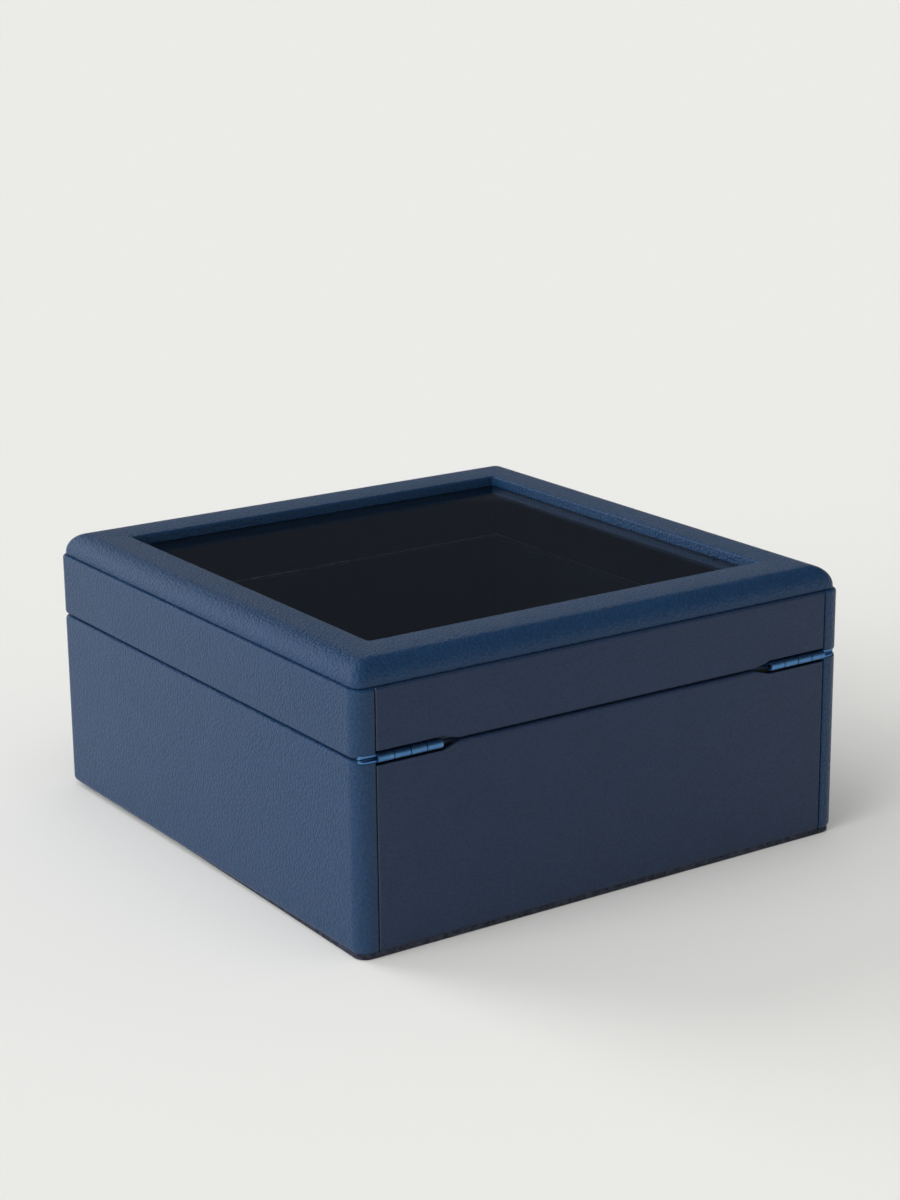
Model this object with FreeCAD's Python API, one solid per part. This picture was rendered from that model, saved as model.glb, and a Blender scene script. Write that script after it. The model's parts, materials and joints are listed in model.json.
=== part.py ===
import FreeCAD, Part
import math
import os
from FreeCAD import Vector

# Watch box: a leather covered case with a glazed lid on two corner hinges.
# Millimetres. The origin is the centre of the resting face and +Z is up.
# The lock is in the front wall, at -Y, and the hinges are at the back, +Y.

# Case, over the leather
BOX_W = 254.0
BOX_D = 261.6
CORNER_R = 6.6
BASE_H = 85.2
SPLIT_GAP = 0.5
LID_SIDE_H = 28.9
RIM_R = 2.0
STEP_R = 1.2
FOOT_Z = 1.8
FOOT_R = 3.0

# Carcass boards and their leather
LEATHER_T = 1.2
WALL_T = 8.0
FLOOR_T = 6.0
FLOOR_LET_IN = 3.5
SEAM_X = 9.6
SEAM_GAP = 0.5
SEAM_BEVEL = 0.35

# Pad under the case: it shows under the back panel only
PAD_T = 2.9
PAD_INSET = 5.2
PAD_BACK_INSET = 0.9

# Lining and compartments
LINER_T = 5.4
LINER_EDGE_BEVEL = 1.2
FLOOR_LINER_T = 2.1
LID_LINER_T = 0.8
DIVIDER_T = 3.0
DIVIDER_H = 38.0
DIVIDER_EDGE_BEVEL = 0.7
WATCH_COLUMNS = 4
WATCH_ROWS = 2
ROW_PITCH = 79.0
FIT = 0.15

# Watch cushions
CUSHION_H = 46.5
CUSHION_SIDE_GAP = 1.6
CUSHION_END_GAP = 2.2
CUSHION_FOOT_GAP = 0.3
CUSHION_TOP_R = 15.0
CUSHION_FOOT_BEVEL = 4.0
CUSHION_CROWN = 3.5
CUSHION_DRAW_IN = 2.6
CUSHION_FOOT_LIFT = 1.3
CUSHION_EVEN_SHARE = 0.45
CUSHION_END_POWER = 12

# Glazed frame on top of the lid: its own height, and its width at the sides and at the ends
FRAME_H = 10.0
FRAME_SIDE_W = 24.7
FRAME_END_W = 28.5
FRAME_INSET = 1.5
FRAME_UPRIGHT = 1.1
FRAME_ROUND_W = 9.6
FRAME_MITRE_R = 1.3
FRAME_FOOT_BEVEL = 0.6
OPENING_BEVEL = 0.8
OPENING_CORNER_R = 1.2
REVEAL_H = 4.7
REBATE_W = 6.0
GLASS_T = 3.0
GLASS_FIT = 0.4
BEAD_SET_BACK = 0.8
BEAD_UNDER_GLASS_GAP = 0.1

# Corner hinges
BARREL_R = 2.0
BARREL_PROUD = 1.0
PIN_R = 0.9
PIN_FIT = 0.05
KNUCKLES = 4
KNUCKLE_L = 7.8
KNUCKLE_GAP = 0.45
BARREL_START = 9.7
LEAF_T = 1.4
LEAF_W = 7.6
LEAF_INSET = 0.6
LEAF_SIDE_INSET = 2.3
LEAF_SIDE_L = 52.0
LEAF_END_R = 3.0
LEAF_FIT = 0.1
CHANNEL_FIT = 0.4
CHANNEL_H = 3.1
CHANNEL_RUN_OUT = 8.8
LEAF_SCREWS_BACK = 2
LEAF_SCREWS_SIDE = 3
HEAD_TO_CHANNEL = 0.3

# Countersunk screws of the hinges and the lock
SCREW_R = 0.95
SCREW_HEAD_R = 1.9
SCREW_HEAD_H = 1.0
SCREW_L = 8.0
SCREW_TIP_R = 0.3
SCREW_FIT = 0.05

# Hook lock in the front wall, with its strike in the lid
LOCK_DROP = 14.0
PLUG_R = 4.0
PLUG_FIT = 0.06
SLEEVE_R = 5.4
ROSE_R = 8.0
ROSE_T = 1.0
PLUG_SET_IN = 0.4
KEYWAY_W = 1.3
KEYWAY_H = 5.0
KEYWAY_DEPTH = 4.0
SPIGOT = 4.0
HOOK_T = 2.6
HOOK_ARM_W = 4.4
HOOK_NOSE_H = 2.5
HOOK_TIP_BEVEL = 0.8
HOOK_REACH = 8.2
HOOK_LIFT = 0.3
HOOK_FIT = 0.5
HUB_R = 5.0
CASE_T = 6.8
CASE_WALL = 1.2
CASE_BELOW = 8.0
PLATE_T = 1.2
PLATE_END = 6.0

# Flats in a rounded corner, a rim, the frame's shoulder and the board under it, and the sides of
# a small round bar and of a screw
CORNER_STEPS = 6
RIM_STEPS = 3
SHOULDER_STEPS = 6
BOARD_STEPS = 3
BAR_SIDES = 24
SCREW_SIDES = 8

# The four sides, how far cutting tools run past what they cut, and how close counts as one place
SIDES = ("front", "back", "left", "right")
PAST = 1.0
FAR = 400.0
SAME = 1e-4

# Values that follow from the sizes above
HALF_W = BOX_W / 2
HALF_D = BOX_D / 2
SPLIT_Z = BASE_H
STEP_Z = SPLIT_Z + LID_SIDE_H
TOP_Z = STEP_Z + FRAME_H
RIM_Z = SPLIT_Z - SPLIT_GAP / 2
LID_Z = SPLIT_Z + SPLIT_GAP / 2
WALL_IN = LEATHER_T + WALL_T
CAVITY_X = HALF_W - WALL_IN
CAVITY_Y = HALF_D - WALL_IN
FLOOR_TOP = PAD_T + FLOOR_T
CELL_Z = FLOOR_TOP + FLOOR_LINER_T
INSIDE_X = CAVITY_X - LINER_T
INSIDE_Y = CAVITY_Y - LINER_T
DIVIDER_TOP = CELL_Z + DIVIDER_H
GLASS_Z = TOP_Z - REVEAL_H
OPEN_X = HALF_W - FRAME_SIDE_W
OPEN_Y = HALF_D - FRAME_END_W
BARREL_Y = HALF_D + BARREL_PROUD - BARREL_R
BARREL_L = KNUCKLES * KNUCKLE_L
CHANNEL_Y = BARREL_Y - BARREL_R - CHANNEL_FIT
LOCK_Z = RIM_Z - LOCK_DROP
LOCK_Y = -HALF_D + WALL_IN - CASE_T
NOSE_LOW = LID_Z + PLATE_T + HOOK_LIFT - LOCK_Z
NOSE_TOP = NOSE_LOW + HOOK_NOSE_H
HOOK_SWEEP = math.hypot(NOSE_TOP, HOOK_REACH) + HOOK_FIT
CASE_HALF = HOOK_SWEEP + CASE_WALL
PLATE_HALF = CASE_HALF + PLATE_END


def slab(x0, x1, y0, y1, z0, z1):
    """A box between two corners, given as three pairs of limits."""
    return Part.makeBox(x1 - x0, y1 - y0, z1 - z0, Vector(x0, y0, z0))


def quarter_turn(steps):
    """The angles that divide a quarter turn into equal steps."""
    return [math.pi / 2 * step / steps for step in range(steps + 1)]


def rounded_ring(half_x, half_y, radius, z):
    """The points of a level rectangle about the Z axis, with its corners rounded in flats."""
    points = []
    for corner in range(4):
        start = math.pi / 2 * corner
        across_x = math.copysign(half_x - radius, math.cos(start + math.pi / 4))
        across_y = math.copysign(half_y - radius, math.sin(start + math.pi / 4))
        for turn in quarter_turn(CORNER_STEPS):
            x = across_x + radius * math.cos(start + turn)
            y = across_y + radius * math.sin(start + turn)
            points.append(Vector(x, y, z))
    return points


def flat_face(points):
    """A flat face inside a closed line through points."""
    return Part.Face(Part.makePolygon(points + points[:1]))


def skinned(rings):
    """A solid over closed rings with as many points each, with flat sides and flat ends."""
    faces = [flat_face(rings[0]), flat_face(rings[-1])]
    for ring, after in zip(rings, rings[1:]):
        for number in range(len(ring)):
            faces.append(flat_face([ring[number - 1], ring[number], after[number], after[number - 1]]))
    return Part.makeSolid(Part.makeShell(faces))


def prism(half_x, half_y, radius, z0, z1):
    """An upright block about the Z axis with rounded vertical corners."""
    return flat_face(rounded_ring(half_x, half_y, radius, z0)).extrude(Vector(0, 0, z1 - z0))


def polygon_prism(points, z0, z1):
    """An upright block over a polygon of x, y points."""
    return flat_face([Vector(x, y, z0) for x, y in points]).extrude(Vector(0, 0, z1 - z0))


def edges_at_height(shape, z):
    """The edges of a shape that lie in the level plane at z."""
    return [e for e in shape.Edges if all(abs(v.Z - z) < SAME for v in e.Vertexes)]


def layered(stations):
    """A block through level rounded rectangles, each given as its inset, corner radius and z."""
    rings = []
    for inset, radius, z in stations:
        rings.append(rounded_ring(HALF_W - inset, HALF_D - inset, radius, z))
    return skinned(rings)


def case_form(z0, z1, low_r, high_r):
    """The case's rounded block over its leather, with both rims rounded."""
    stations = []
    for angle in quarter_turn(RIM_STEPS):
        inset = low_r * (1 - math.sin(angle))
        stations.append((inset, CORNER_R - inset, z0 + low_r * (1 - math.cos(angle))))
    for angle in quarter_turn(RIM_STEPS):
        inset = high_r * (1 - math.cos(angle))
        stations.append((inset, CORNER_R - inset, z1 - high_r * (1 - math.sin(angle))))
    return layered(stations)


def board_form(z0, z1):
    """The block that the boards of one half make together, under the leather."""
    return prism(HALF_W - LEATHER_T, HALF_D - LEATHER_T, CORNER_R - LEATHER_T, z0, z1)


def mitre(side, in_x, in_y, z0, z1):
    """The block that cuts one side out of a ring, along the mitres at its corners."""
    out = 0.5
    far_in = 1.6  # shares of the ring's width, outside the case and inwards
    outer_x = HALF_W + out * in_x
    outer_y = HALF_D + out * in_y
    inner_x = HALF_W - far_in * in_x
    inner_y = HALF_D - far_in * in_y
    corners = {
        "front": [(-outer_x, -outer_y), (outer_x, -outer_y), (inner_x, -inner_y), (-inner_x, -inner_y)],
        "back": [(outer_x, outer_y), (-outer_x, outer_y), (-inner_x, inner_y), (inner_x, inner_y)],
        "left": [(-outer_x, outer_y), (-outer_x, -outer_y), (-inner_x, -inner_y), (-inner_x, inner_y)],
        "right": [(outer_x, -outer_y), (outer_x, outer_y), (inner_x, inner_y), (inner_x, -inner_y)],
    }
    return polygon_prism(corners[side], z0, z1)


def mirrored(shape):
    """The same shape on the other side of the YZ plane."""
    return shape.mirror(Vector(0, 0, 0), Vector(1, 0, 0))


def on_both_sides(shape):
    """A shape and its mirror image, as one tool for a cut."""
    return Part.Compound([shape, mirrored(shape)])


def leaf_outline(grow, z0, z1):
    """A hinge leaf's plan at the right back corner: an L that follows the case's corner."""
    corner = prism(HALF_W - LEAF_INSET + grow, HALF_D - LEAF_INSET + grow, CORNER_R - LEAF_INSET, z0, z1)
    inner_x = HALF_W - LEAF_INSET - LEAF_W - grow
    inner_y = HALF_D - LEAF_INSET - LEAF_W - grow
    hole = slab(-FAR, inner_x, -FAR, inner_y, z0, z1)
    back_end = HALF_W - BARREL_START - BARREL_L - grow
    side_end = HALF_D - LEAF_SIDE_L - grow
    leaf = corner.cut(hole).cut(slab(leaf_side_x() + grow, FAR, -FAR, FAR, z0, z1))
    leaf = leaf.cut(slab(-FAR, back_end, -FAR, FAR, z0, z1))
    leaf = leaf.cut(slab(-FAR, FAR, -FAR, side_end, z0, z1))
    inner_end = [e for e in leaf.Edges if is_leaf_corner(e, inner_x, side_end)]
    return leaf.makeFillet(LEAF_END_R, inner_end)


def leaf_side_x():
    """The x of the side arm's outer edge, which lies inside the rounded rim."""
    return HALF_W - LEAF_SIDE_INSET


def leaf_turn_y():
    """The y where the leaf's rounded corner meets its side arm."""
    radius = CORNER_R - LEAF_INSET
    return HALF_D - CORNER_R + math.sqrt(radius ** 2 - (CORNER_R - LEAF_SIDE_INSET) ** 2)


def is_leaf_corner(edge, x, y):
    """Whether an edge is the upright one at the inner end of a leaf's side arm."""
    return all(abs(v.X - x) < SAME and abs(v.Y - y) < SAME for v in edge.Vertexes)


def barrel_channel():
    """The channel for one hinge barrel in the back edges, with a tapered run-out."""
    x_seam = HALF_W - SEAM_X
    x_full = HALF_W - BARREL_START - BARREL_L - CHANNEL_FIT
    x_end = x_full - CHANNEL_RUN_OUT
    tip = SPLIT_GAP
    outline = [
        (x_seam, SPLIT_Z - CHANNEL_H), (x_full, SPLIT_Z - CHANNEL_H), (x_end, SPLIT_Z - tip),
        (x_end, SPLIT_Z + tip), (x_full, SPLIT_Z + CHANNEL_H), (x_seam, SPLIT_Z + CHANNEL_H),
    ]
    return flat_face([Vector(x, CHANNEL_Y, z) for x, z in outline]).extrude(Vector(0, FAR, 0))


def corner_relief():
    """The leather cut away round the back corner, where the leaves' edges show."""
    x0 = HALF_W - SEAM_X
    y0 = leaf_turn_y()
    depth = LEAF_T + SPLIT_GAP / 2 + LEAF_FIT
    zone = slab(x0, HALF_W + PAST, y0, HALF_D + PAST, SPLIT_Z - depth, SPLIT_Z + depth)
    inner = HALF_D - LEAF_INSET - LEAF_FIT
    keep = prism(HALF_W - LEAF_INSET - LEAF_FIT, inner, CORNER_R - LEAF_INSET, SPLIT_Z - FAR, SPLIT_Z + FAR)
    return zone.cut(keep)


def screw_places():
    """The x, y places of the screws in the right hinge's leaves."""
    places = []
    back_y = CHANNEL_Y - SCREW_HEAD_R - SCREW_FIT - HEAD_TO_CHANNEL
    step = BARREL_L / LEAF_SCREWS_BACK
    for number in range(LEAF_SCREWS_BACK):
        places.append((HALF_W - BARREL_START - step * (number + 0.5), back_y))
    side_x = (leaf_side_x() + HALF_W - LEAF_INSET - LEAF_W) / 2
    first_y = HALF_D - LEAF_INSET - LEAF_W - SCREW_HEAD_R
    last_y = HALF_D - LEAF_SIDE_L + LEAF_END_R + SCREW_HEAD_R
    for number in range(LEAF_SCREWS_SIDE):
        share = number / max(1, LEAF_SCREWS_SIDE - 1)
        places.append((side_x, first_y + (last_y - first_y) * share))
    return places


def around(radius, sides):
    """Pairs of offsets to points evenly spaced round a circle."""
    turns = [2 * math.pi * number / sides for number in range(sides)]
    return [(radius * math.cos(turn), radius * math.sin(turn)) for turn in turns]


def screw(x, y, z, down, grow=0.0):
    """A countersunk wood screw with its head face at z, and its hole when grown."""
    way = -1 if down else 1
    levels = [(SCREW_HEAD_R, 0.0), (SCREW_R, SCREW_HEAD_H), (SCREW_TIP_R, SCREW_L + grow)]
    rings = []
    for radius, depth in levels:
        rings.append([Vector(x + a, y + b, z + way * depth) for a, b in around(radius + grow, SCREW_SIDES)])
    return skinned(rings)


def hinge_screws(z, down, grow=0.0):
    """The screws of both hinges at one leaf level."""
    screws = [screw(x, y, z, down, grow) for x, y in screw_places()]
    return screws + [mirrored(s) for s in screws]


def knuckle_spans(first):
    """The x limits of every second knuckle, from the corner inwards."""
    spans = []
    for number in range(first, KNUCKLES, 2):
        outer = HALF_W - BARREL_START - number * KNUCKLE_L
        spans.append((outer - KNUCKLE_L + KNUCKLE_GAP / 2, outer - KNUCKLE_GAP / 2))
    return spans


def clear_of(radius):
    """The radius for a bore in flats that keeps clear of a circle."""
    return radius / math.cos(math.pi / BAR_SIDES)


def along_x(radius, x0, x1, y, z):
    """A round bar in flats that lies along X."""
    ring = [Vector(x0, y + a, z + b) for a, b in around(radius, BAR_SIDES)]
    return flat_face(ring).extrude(Vector(x1 - x0, 0, 0))


def hinge_leaf(z0, z1, first):
    """A right hinge leaf with its own knuckles, bored for the pin."""
    leaf = leaf_outline(0.0, z0, z1)
    barrel_end = HALF_W - BARREL_START - BARREL_L
    leaf = leaf.cut(slab(barrel_end - PAST, HALF_W - BARREL_START, CHANNEL_Y, FAR, z0, z1))
    for x0, x1 in knuckle_spans(first):
        tongue = slab(x0, x1, CHANNEL_Y, BARREL_Y, z0, z1)
        leaf = leaf.fuse([tongue, along_x(BARREL_R, x0, x1, BARREL_Y, SPLIT_Z)])
    bore = along_x(clear_of(PIN_R + PIN_FIT), -FAR, FAR, BARREL_Y, SPLIT_Z)
    return leaf.removeSplitter().cut(bore)


def hinge_pin():
    """The right hinge's pin, a little shorter than its barrel."""
    x1 = HALF_W - BARREL_START - KNUCKLE_GAP
    x0 = x1 - BARREL_L + 2 * KNUCKLE_GAP
    return along_x(PIN_R, x0, x1, BARREL_Y, SPLIT_Z)


def along_y(radius, y0, y1, x, z):
    """A round bar in flats that lies along Y."""
    ring = [Vector(x + a, y0, z + b) for a, b in around(radius, BAR_SIDES)]
    return flat_face(ring).extrude(Vector(0, y1 - y0, 0))


def lock_case():
    """The lock's case with its face plate and the sleeve that the plug turns in."""
    y0 = LOCK_Y
    y1 = LOCK_Y + CASE_T
    body = slab(-CASE_HALF, CASE_HALF, y0, y1, LOCK_Z - CASE_BELOW, RIM_Z)
    plate = slab(-PLATE_HALF, PLATE_HALF, y0, y1, RIM_Z - PLATE_T, RIM_Z)
    sleeve = along_y(SLEEVE_R, -HALF_D, y0 + CASE_WALL, 0, LOCK_Z)
    case = body.fuse([plate, sleeve])
    hollow_z = LOCK_Z - CASE_BELOW + CASE_WALL
    hollow = slab(-HOOK_SWEEP, HOOK_SWEEP, y0 + CASE_WALL, y1 - CASE_WALL, hollow_z, RIM_Z - PLATE_T)
    case = case.cut(hollow)
    case = case.cut(hook_slot(RIM_Z - PLATE_T, RIM_Z))
    case = case.cut(along_y(clear_of(PLUG_R + PLUG_FIT), -HALF_D - PAST, y0 + CASE_WALL + PAST, 0, LOCK_Z))
    for x in plate_screws():
        case = case.cut(screw(x, y0 + CASE_T / 2, RIM_Z, True, SCREW_FIT))
    return case.removeSplitter()


def hook_y():
    """The y limits of the hook's thickness."""
    y0 = LOCK_Y + CASE_WALL + HOOK_FIT
    return y0, y0 + HOOK_T


def hook_slot(z0, z1):
    """The slot through a plate that the hook rises through."""
    reach = math.sqrt(HOOK_SWEEP ** 2 - (z0 - LOCK_Z) ** 2)
    y0, y1 = hook_y()
    return slab(-reach, HOOK_ARM_W / 2 + HOOK_FIT, y0 - HOOK_FIT, y1 + HOOK_FIT, z0, z1)


def plate_screws():
    """The x places of the screws in the face plate and the strike plate."""
    x = CASE_HALF + PLATE_END / 2
    return [-x, x]


def lock_hook():
    """The hook at rest: its arm points to -X and its nose up."""
    y0, y1 = hook_y()
    half = HOOK_ARM_W / 2
    arm = slab(-NOSE_TOP, 0, y0, y1, LOCK_Z - half, LOCK_Z + half)
    nose = slab(-NOSE_TOP, -NOSE_LOW, y0, y1, LOCK_Z, LOCK_Z + HOOK_REACH)
    hub = along_y(HUB_R, y0, y1, 0, LOCK_Z)
    hook = arm.fuse([nose, hub]).removeSplitter()
    tip = edges_at_height(hook, LOCK_Z + HOOK_REACH)
    tip = [e for e in tip if abs(e.Vertexes[0].X - e.Vertexes[-1].X) < SAME]
    hook = hook.makeChamfer(HOOK_TIP_BEVEL, tip)
    square = SPIGOT / 2
    return hook.cut(slab(-square, square, y0 - PAST, y1 + PAST, LOCK_Z - square, LOCK_Z + square))


def lock_plug():
    """The plug with its keyway, and the square spigot that carries the hook."""
    y_face = -HALF_D - ROSE_T + PLUG_SET_IN
    y0, y1 = hook_y()
    half = SPIGOT / 2
    plug = along_y(PLUG_R, y_face, y0, 0, LOCK_Z)
    spigot = slab(-half, half, y0, y1 + HOOK_FIT / 2, LOCK_Z - half, LOCK_Z + half)
    low = LOCK_Z - KEYWAY_H / 2
    high = LOCK_Z + KEYWAY_H / 2
    keyway = slab(-KEYWAY_W / 2, KEYWAY_W / 2, y_face - PAST, y_face + KEYWAY_DEPTH, low, high)
    return plug.fuse(spigot).cut(keyway)


def lock_rose():
    """The ring round the plug on the front leather."""
    levels = [(ROSE_R, 0.0), (ROSE_R, ROSE_T / 2), (ROSE_R - ROSE_T / 2, ROSE_T)]
    rings = []
    for radius, depth in levels:
        rings.append([Vector(a, -HALF_D - depth, LOCK_Z + b) for a, b in around(radius, BAR_SIDES)])
    bore = along_y(clear_of(PLUG_R + PLUG_FIT), -HALF_D - ROSE_T - PAST, -HALF_D + PAST, 0, LOCK_Z)
    return skinned(rings).cut(bore)


def strike_plate():
    """The plate in the lid's front rim that the hook catches."""
    plate = strike_mortise().cut(hook_slot(LID_Z, LID_Z + PLATE_T))
    for x in plate_screws():
        plate = plate.cut(screw(x, LOCK_Y + CASE_T / 2, LID_Z, False, SCREW_FIT))
    return plate


def strike_pocket():
    """The room for the hook above the strike plate."""
    y0, y1 = hook_y()
    x1 = HOOK_REACH + HOOK_FIT
    return slab(-HOOK_SWEEP, x1, y0 - HOOK_FIT, y1 + HOOK_FIT, LID_Z, LOCK_Z + HOOK_SWEEP)


def lock_mortise():
    """The room for the lock's case, face plate and sleeve in the base."""
    y0 = LOCK_Y
    y1 = y0 + CASE_T
    body = slab(-CASE_HALF, CASE_HALF, y0, y1, LOCK_Z - CASE_BELOW, RIM_Z)
    plate = slab(-PLATE_HALF, PLATE_HALF, y0, y1, RIM_Z - PLATE_T, RIM_Z)
    return body.fuse([plate, along_y(SLEEVE_R, -HALF_D - PAST, y0 + PAST, 0, LOCK_Z)])


def strike_mortise():
    """The room for the strike plate in the lid."""
    return slab(-PLATE_HALF, PLATE_HALF, LOCK_Y, LOCK_Y + CASE_T, LID_Z, LID_Z + PLATE_T)


def base_cuts():
    """Everything let into the base's boards and leather."""
    leaf = leaf_outline(LEAF_FIT, RIM_Z - LEAF_T - LEAF_FIT, RIM_Z + PAST)
    tools = [on_both_sides(leaf), on_both_sides(barrel_channel()), on_both_sides(corner_relief())]
    tools += hinge_screws(RIM_Z, True, SCREW_FIT)
    tools += [lock_mortise()]
    tools += [screw(x, LOCK_Y + CASE_T / 2, RIM_Z, True, SCREW_FIT) for x in plate_screws()]
    return tools


def lid_cuts():
    """Everything let into the lid's boards and leather."""
    leaf = leaf_outline(LEAF_FIT, LID_Z - PAST, LID_Z + LEAF_T + LEAF_FIT)
    tools = [on_both_sides(leaf), on_both_sides(barrel_channel()), on_both_sides(corner_relief())]
    tools += hinge_screws(LID_Z, False, SCREW_FIT)
    tools += [strike_mortise(), strike_pocket()]
    tools += [screw(x, LOCK_Y + CASE_T / 2, LID_Z, False, SCREW_FIT) for x in plate_screws()]
    return tools


def walls(prefix, core, cuts, z0, z1):
    """Four mitred boards from a solid block with the cavity taken out."""
    ring = core.cut(slab(-CAVITY_X, CAVITY_X, -CAVITY_Y, CAVITY_Y, z0 - PAST, z1 + PAST))
    boards = {}
    for side in SIDES:
        board = ring.common(mitre(side, WALL_IN, WALL_IN, z0 - PAST, z1 + PAST))
        boards[prefix + "_" + side] = board.cut(cuts)
    return boards


def back_zone(margin, z0, z1):
    """The part of the back between the two upright seams."""
    half = HALF_W - SEAM_X + margin
    return slab(-half, half, HALF_D - WALL_IN, HALF_D + PAST, z0, z1)


def leather(form, core, cuts, z0, z1):
    """The wrap round the sides and front, and the separate panel on the back."""
    low = z0 - PAST
    high = z1 + PAST
    skin = form.cut(core).cut(slab(-CAVITY_X, CAVITY_X, -CAVITY_Y, CAVITY_Y, low, high))
    skin = skin.cut(on_both_sides(seam_bevels(low, high)))
    wrap = skin.cut(back_zone(SEAM_GAP / 2, low, high))
    panel = skin.common(back_zone(-SEAM_GAP / 2, low, high))
    return wrap.cut(cuts), panel.cut(cuts)


def seam_bevels(z0, z1):
    """The wedge that bevels both leather edges at the right back seam."""
    x = HALF_W - SEAM_X
    reach = SEAM_GAP / 2 + SEAM_BEVEL
    return polygon_prism([(x - reach, HALF_D), (x, HALF_D - reach), (x + reach, HALF_D)], z0, z1)


def pad_form(grow):
    """The resting pad: drawn in at the sides and front, out to the edge at the back."""
    main = prism(HALF_W - PAD_INSET + grow, HALF_D - PAD_INSET + grow, CORNER_R, 0, PAD_T)
    inset = PAD_BACK_INSET - grow
    edge = prism(HALF_W - inset, HALF_D - inset, CORNER_R - PAD_BACK_INSET, 0, PAD_T)
    strip = edge.common(slab(-FAR, FAR, HALF_D - CORNER_R - grow, FAR, 0, PAD_T))
    return main.fuse(strip).removeSplitter()


def base_nodes():
    """The base's carcass, leather, pad and linings."""
    form = case_form(FOOT_Z, RIM_Z, FOOT_R, RIM_R)
    core = board_form(PAD_T, RIM_Z - LEATHER_T)
    cuts = base_cuts()
    floor_x = CAVITY_X + FLOOR_LET_IN
    floor_y = CAVITY_Y + FLOOR_LET_IN
    floor = slab(-floor_x, floor_x, -floor_y, floor_y, PAD_T, FLOOR_TOP)
    nodes = walls("base_wall", core, cuts + [floor], PAD_T, RIM_Z)
    nodes["base_floor"] = floor
    wrap, panel = leather(form, core, cuts + [pad_form(FIT)], FOOT_Z, RIM_Z)
    nodes["base_wrap"] = wrap
    nodes["base_back_panel"] = panel
    nodes["bottom_pad"] = pad_form(0)
    nodes["floor_liner"] = slab(-INSIDE_X, INSIDE_X, -INSIDE_Y, INSIDE_Y, FLOOR_TOP, CELL_Z)
    for side, sign in (("front", -1), ("back", 1)):
        low, high = sorted((sign * INSIDE_Y, sign * CAVITY_Y))
        board = slab(-CAVITY_X, CAVITY_X, low, high, FLOOR_TOP, RIM_Z)
        nodes["base_liner_" + side] = bevel_top_edge(board, 1, sign * INSIDE_Y)
    for side, sign in (("left", -1), ("right", 1)):
        low, high = sorted((sign * INSIDE_X, sign * CAVITY_X))
        board = slab(low, high, -INSIDE_Y, INSIDE_Y, FLOOR_TOP, RIM_Z)
        nodes["base_liner_" + side] = bevel_top_edge(board, 0, sign * INSIDE_X)
    return nodes


def bevel_top_edge(board, axis, place):
    """Bevel a padded liner's top edge on its inner face."""
    top = edges_at_height(board, RIM_Z)
    inner = [e for e in top if all(abs(v.Point[axis] - place) < SAME for v in e.Vertexes)]
    return board.makeChamfer(LINER_EDGE_BEVEL, inner)


def column_places():
    """The x places of the walls between watch columns."""
    cell = (2 * INSIDE_X - (WATCH_COLUMNS - 1) * DIVIDER_T) / WATCH_COLUMNS
    first = -INSIDE_X + cell + DIVIDER_T / 2
    return [first + number * (cell + DIVIDER_T) for number in range(WATCH_COLUMNS - 1)], cell


def row_places():
    """The y places of the walls in front of each watch row, from the back."""
    return [INSIDE_Y - ROW_PITCH * (number + 1) + DIVIDER_T / 2 for number in range(WATCH_ROWS)]


def divider(x0, x1, y0, y1, notches, from_top):
    """A divider board, half lapped over the boards that cross it."""
    board = slab(x0, x1, y0, y1, CELL_Z, DIVIDER_TOP)
    board = board.makeChamfer(DIVIDER_EDGE_BEVEL, long_top_edges(board))
    middle = CELL_Z + DIVIDER_H / 2
    z0, z1 = (middle, DIVIDER_TOP + PAST) if from_top else (CELL_Z - PAST, middle)
    half = DIVIDER_T / 2 + FIT
    for x, y in notches:
        if from_top:
            board = board.cut(slab(x - half, x + half, y0 - PAST, y1 + PAST, z0, z1))
        else:
            board = board.cut(slab(x0 - PAST, x1 + PAST, y - half, y + half, z0, z1))
    return board


def long_top_edges(board):
    """A divider's two long edges along its top."""
    top = edges_at_height(board, DIVIDER_TOP)
    longest = max(e.Length for e in top)
    return [e for e in top if e.Length > longest - SAME]


def divider_nodes():
    """The boards between the watches, and those of the open tray at the front."""
    half = DIVIDER_T / 2
    columns, cell = column_places()
    rows = row_places()
    tray_y = rows[-1]
    nodes = {}
    for number, y in enumerate(rows[:-1]):
        notches = [(x, y) for x in columns]
        nodes["row_divider_%d" % (number + 1)] = divider(
            -INSIDE_X + FIT, INSIDE_X - FIT, y - half, y + half, notches, True)
    nodes["tray_divider_long"] = divider(
        -INSIDE_X + FIT, INSIDE_X - FIT, tray_y - half, tray_y + half, [], True)
    for number, x in enumerate(columns):
        notches = [(x, y) for y in rows[:-1]]
        nodes["column_divider_%d" % (number + 1)] = divider(
            x - half, x + half, tray_y + half, INSIDE_Y - FIT, notches, False)
    nodes["tray_divider_short"] = divider(-half, half, -INSIDE_Y + FIT, tray_y - half, [], False)
    return nodes


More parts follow.
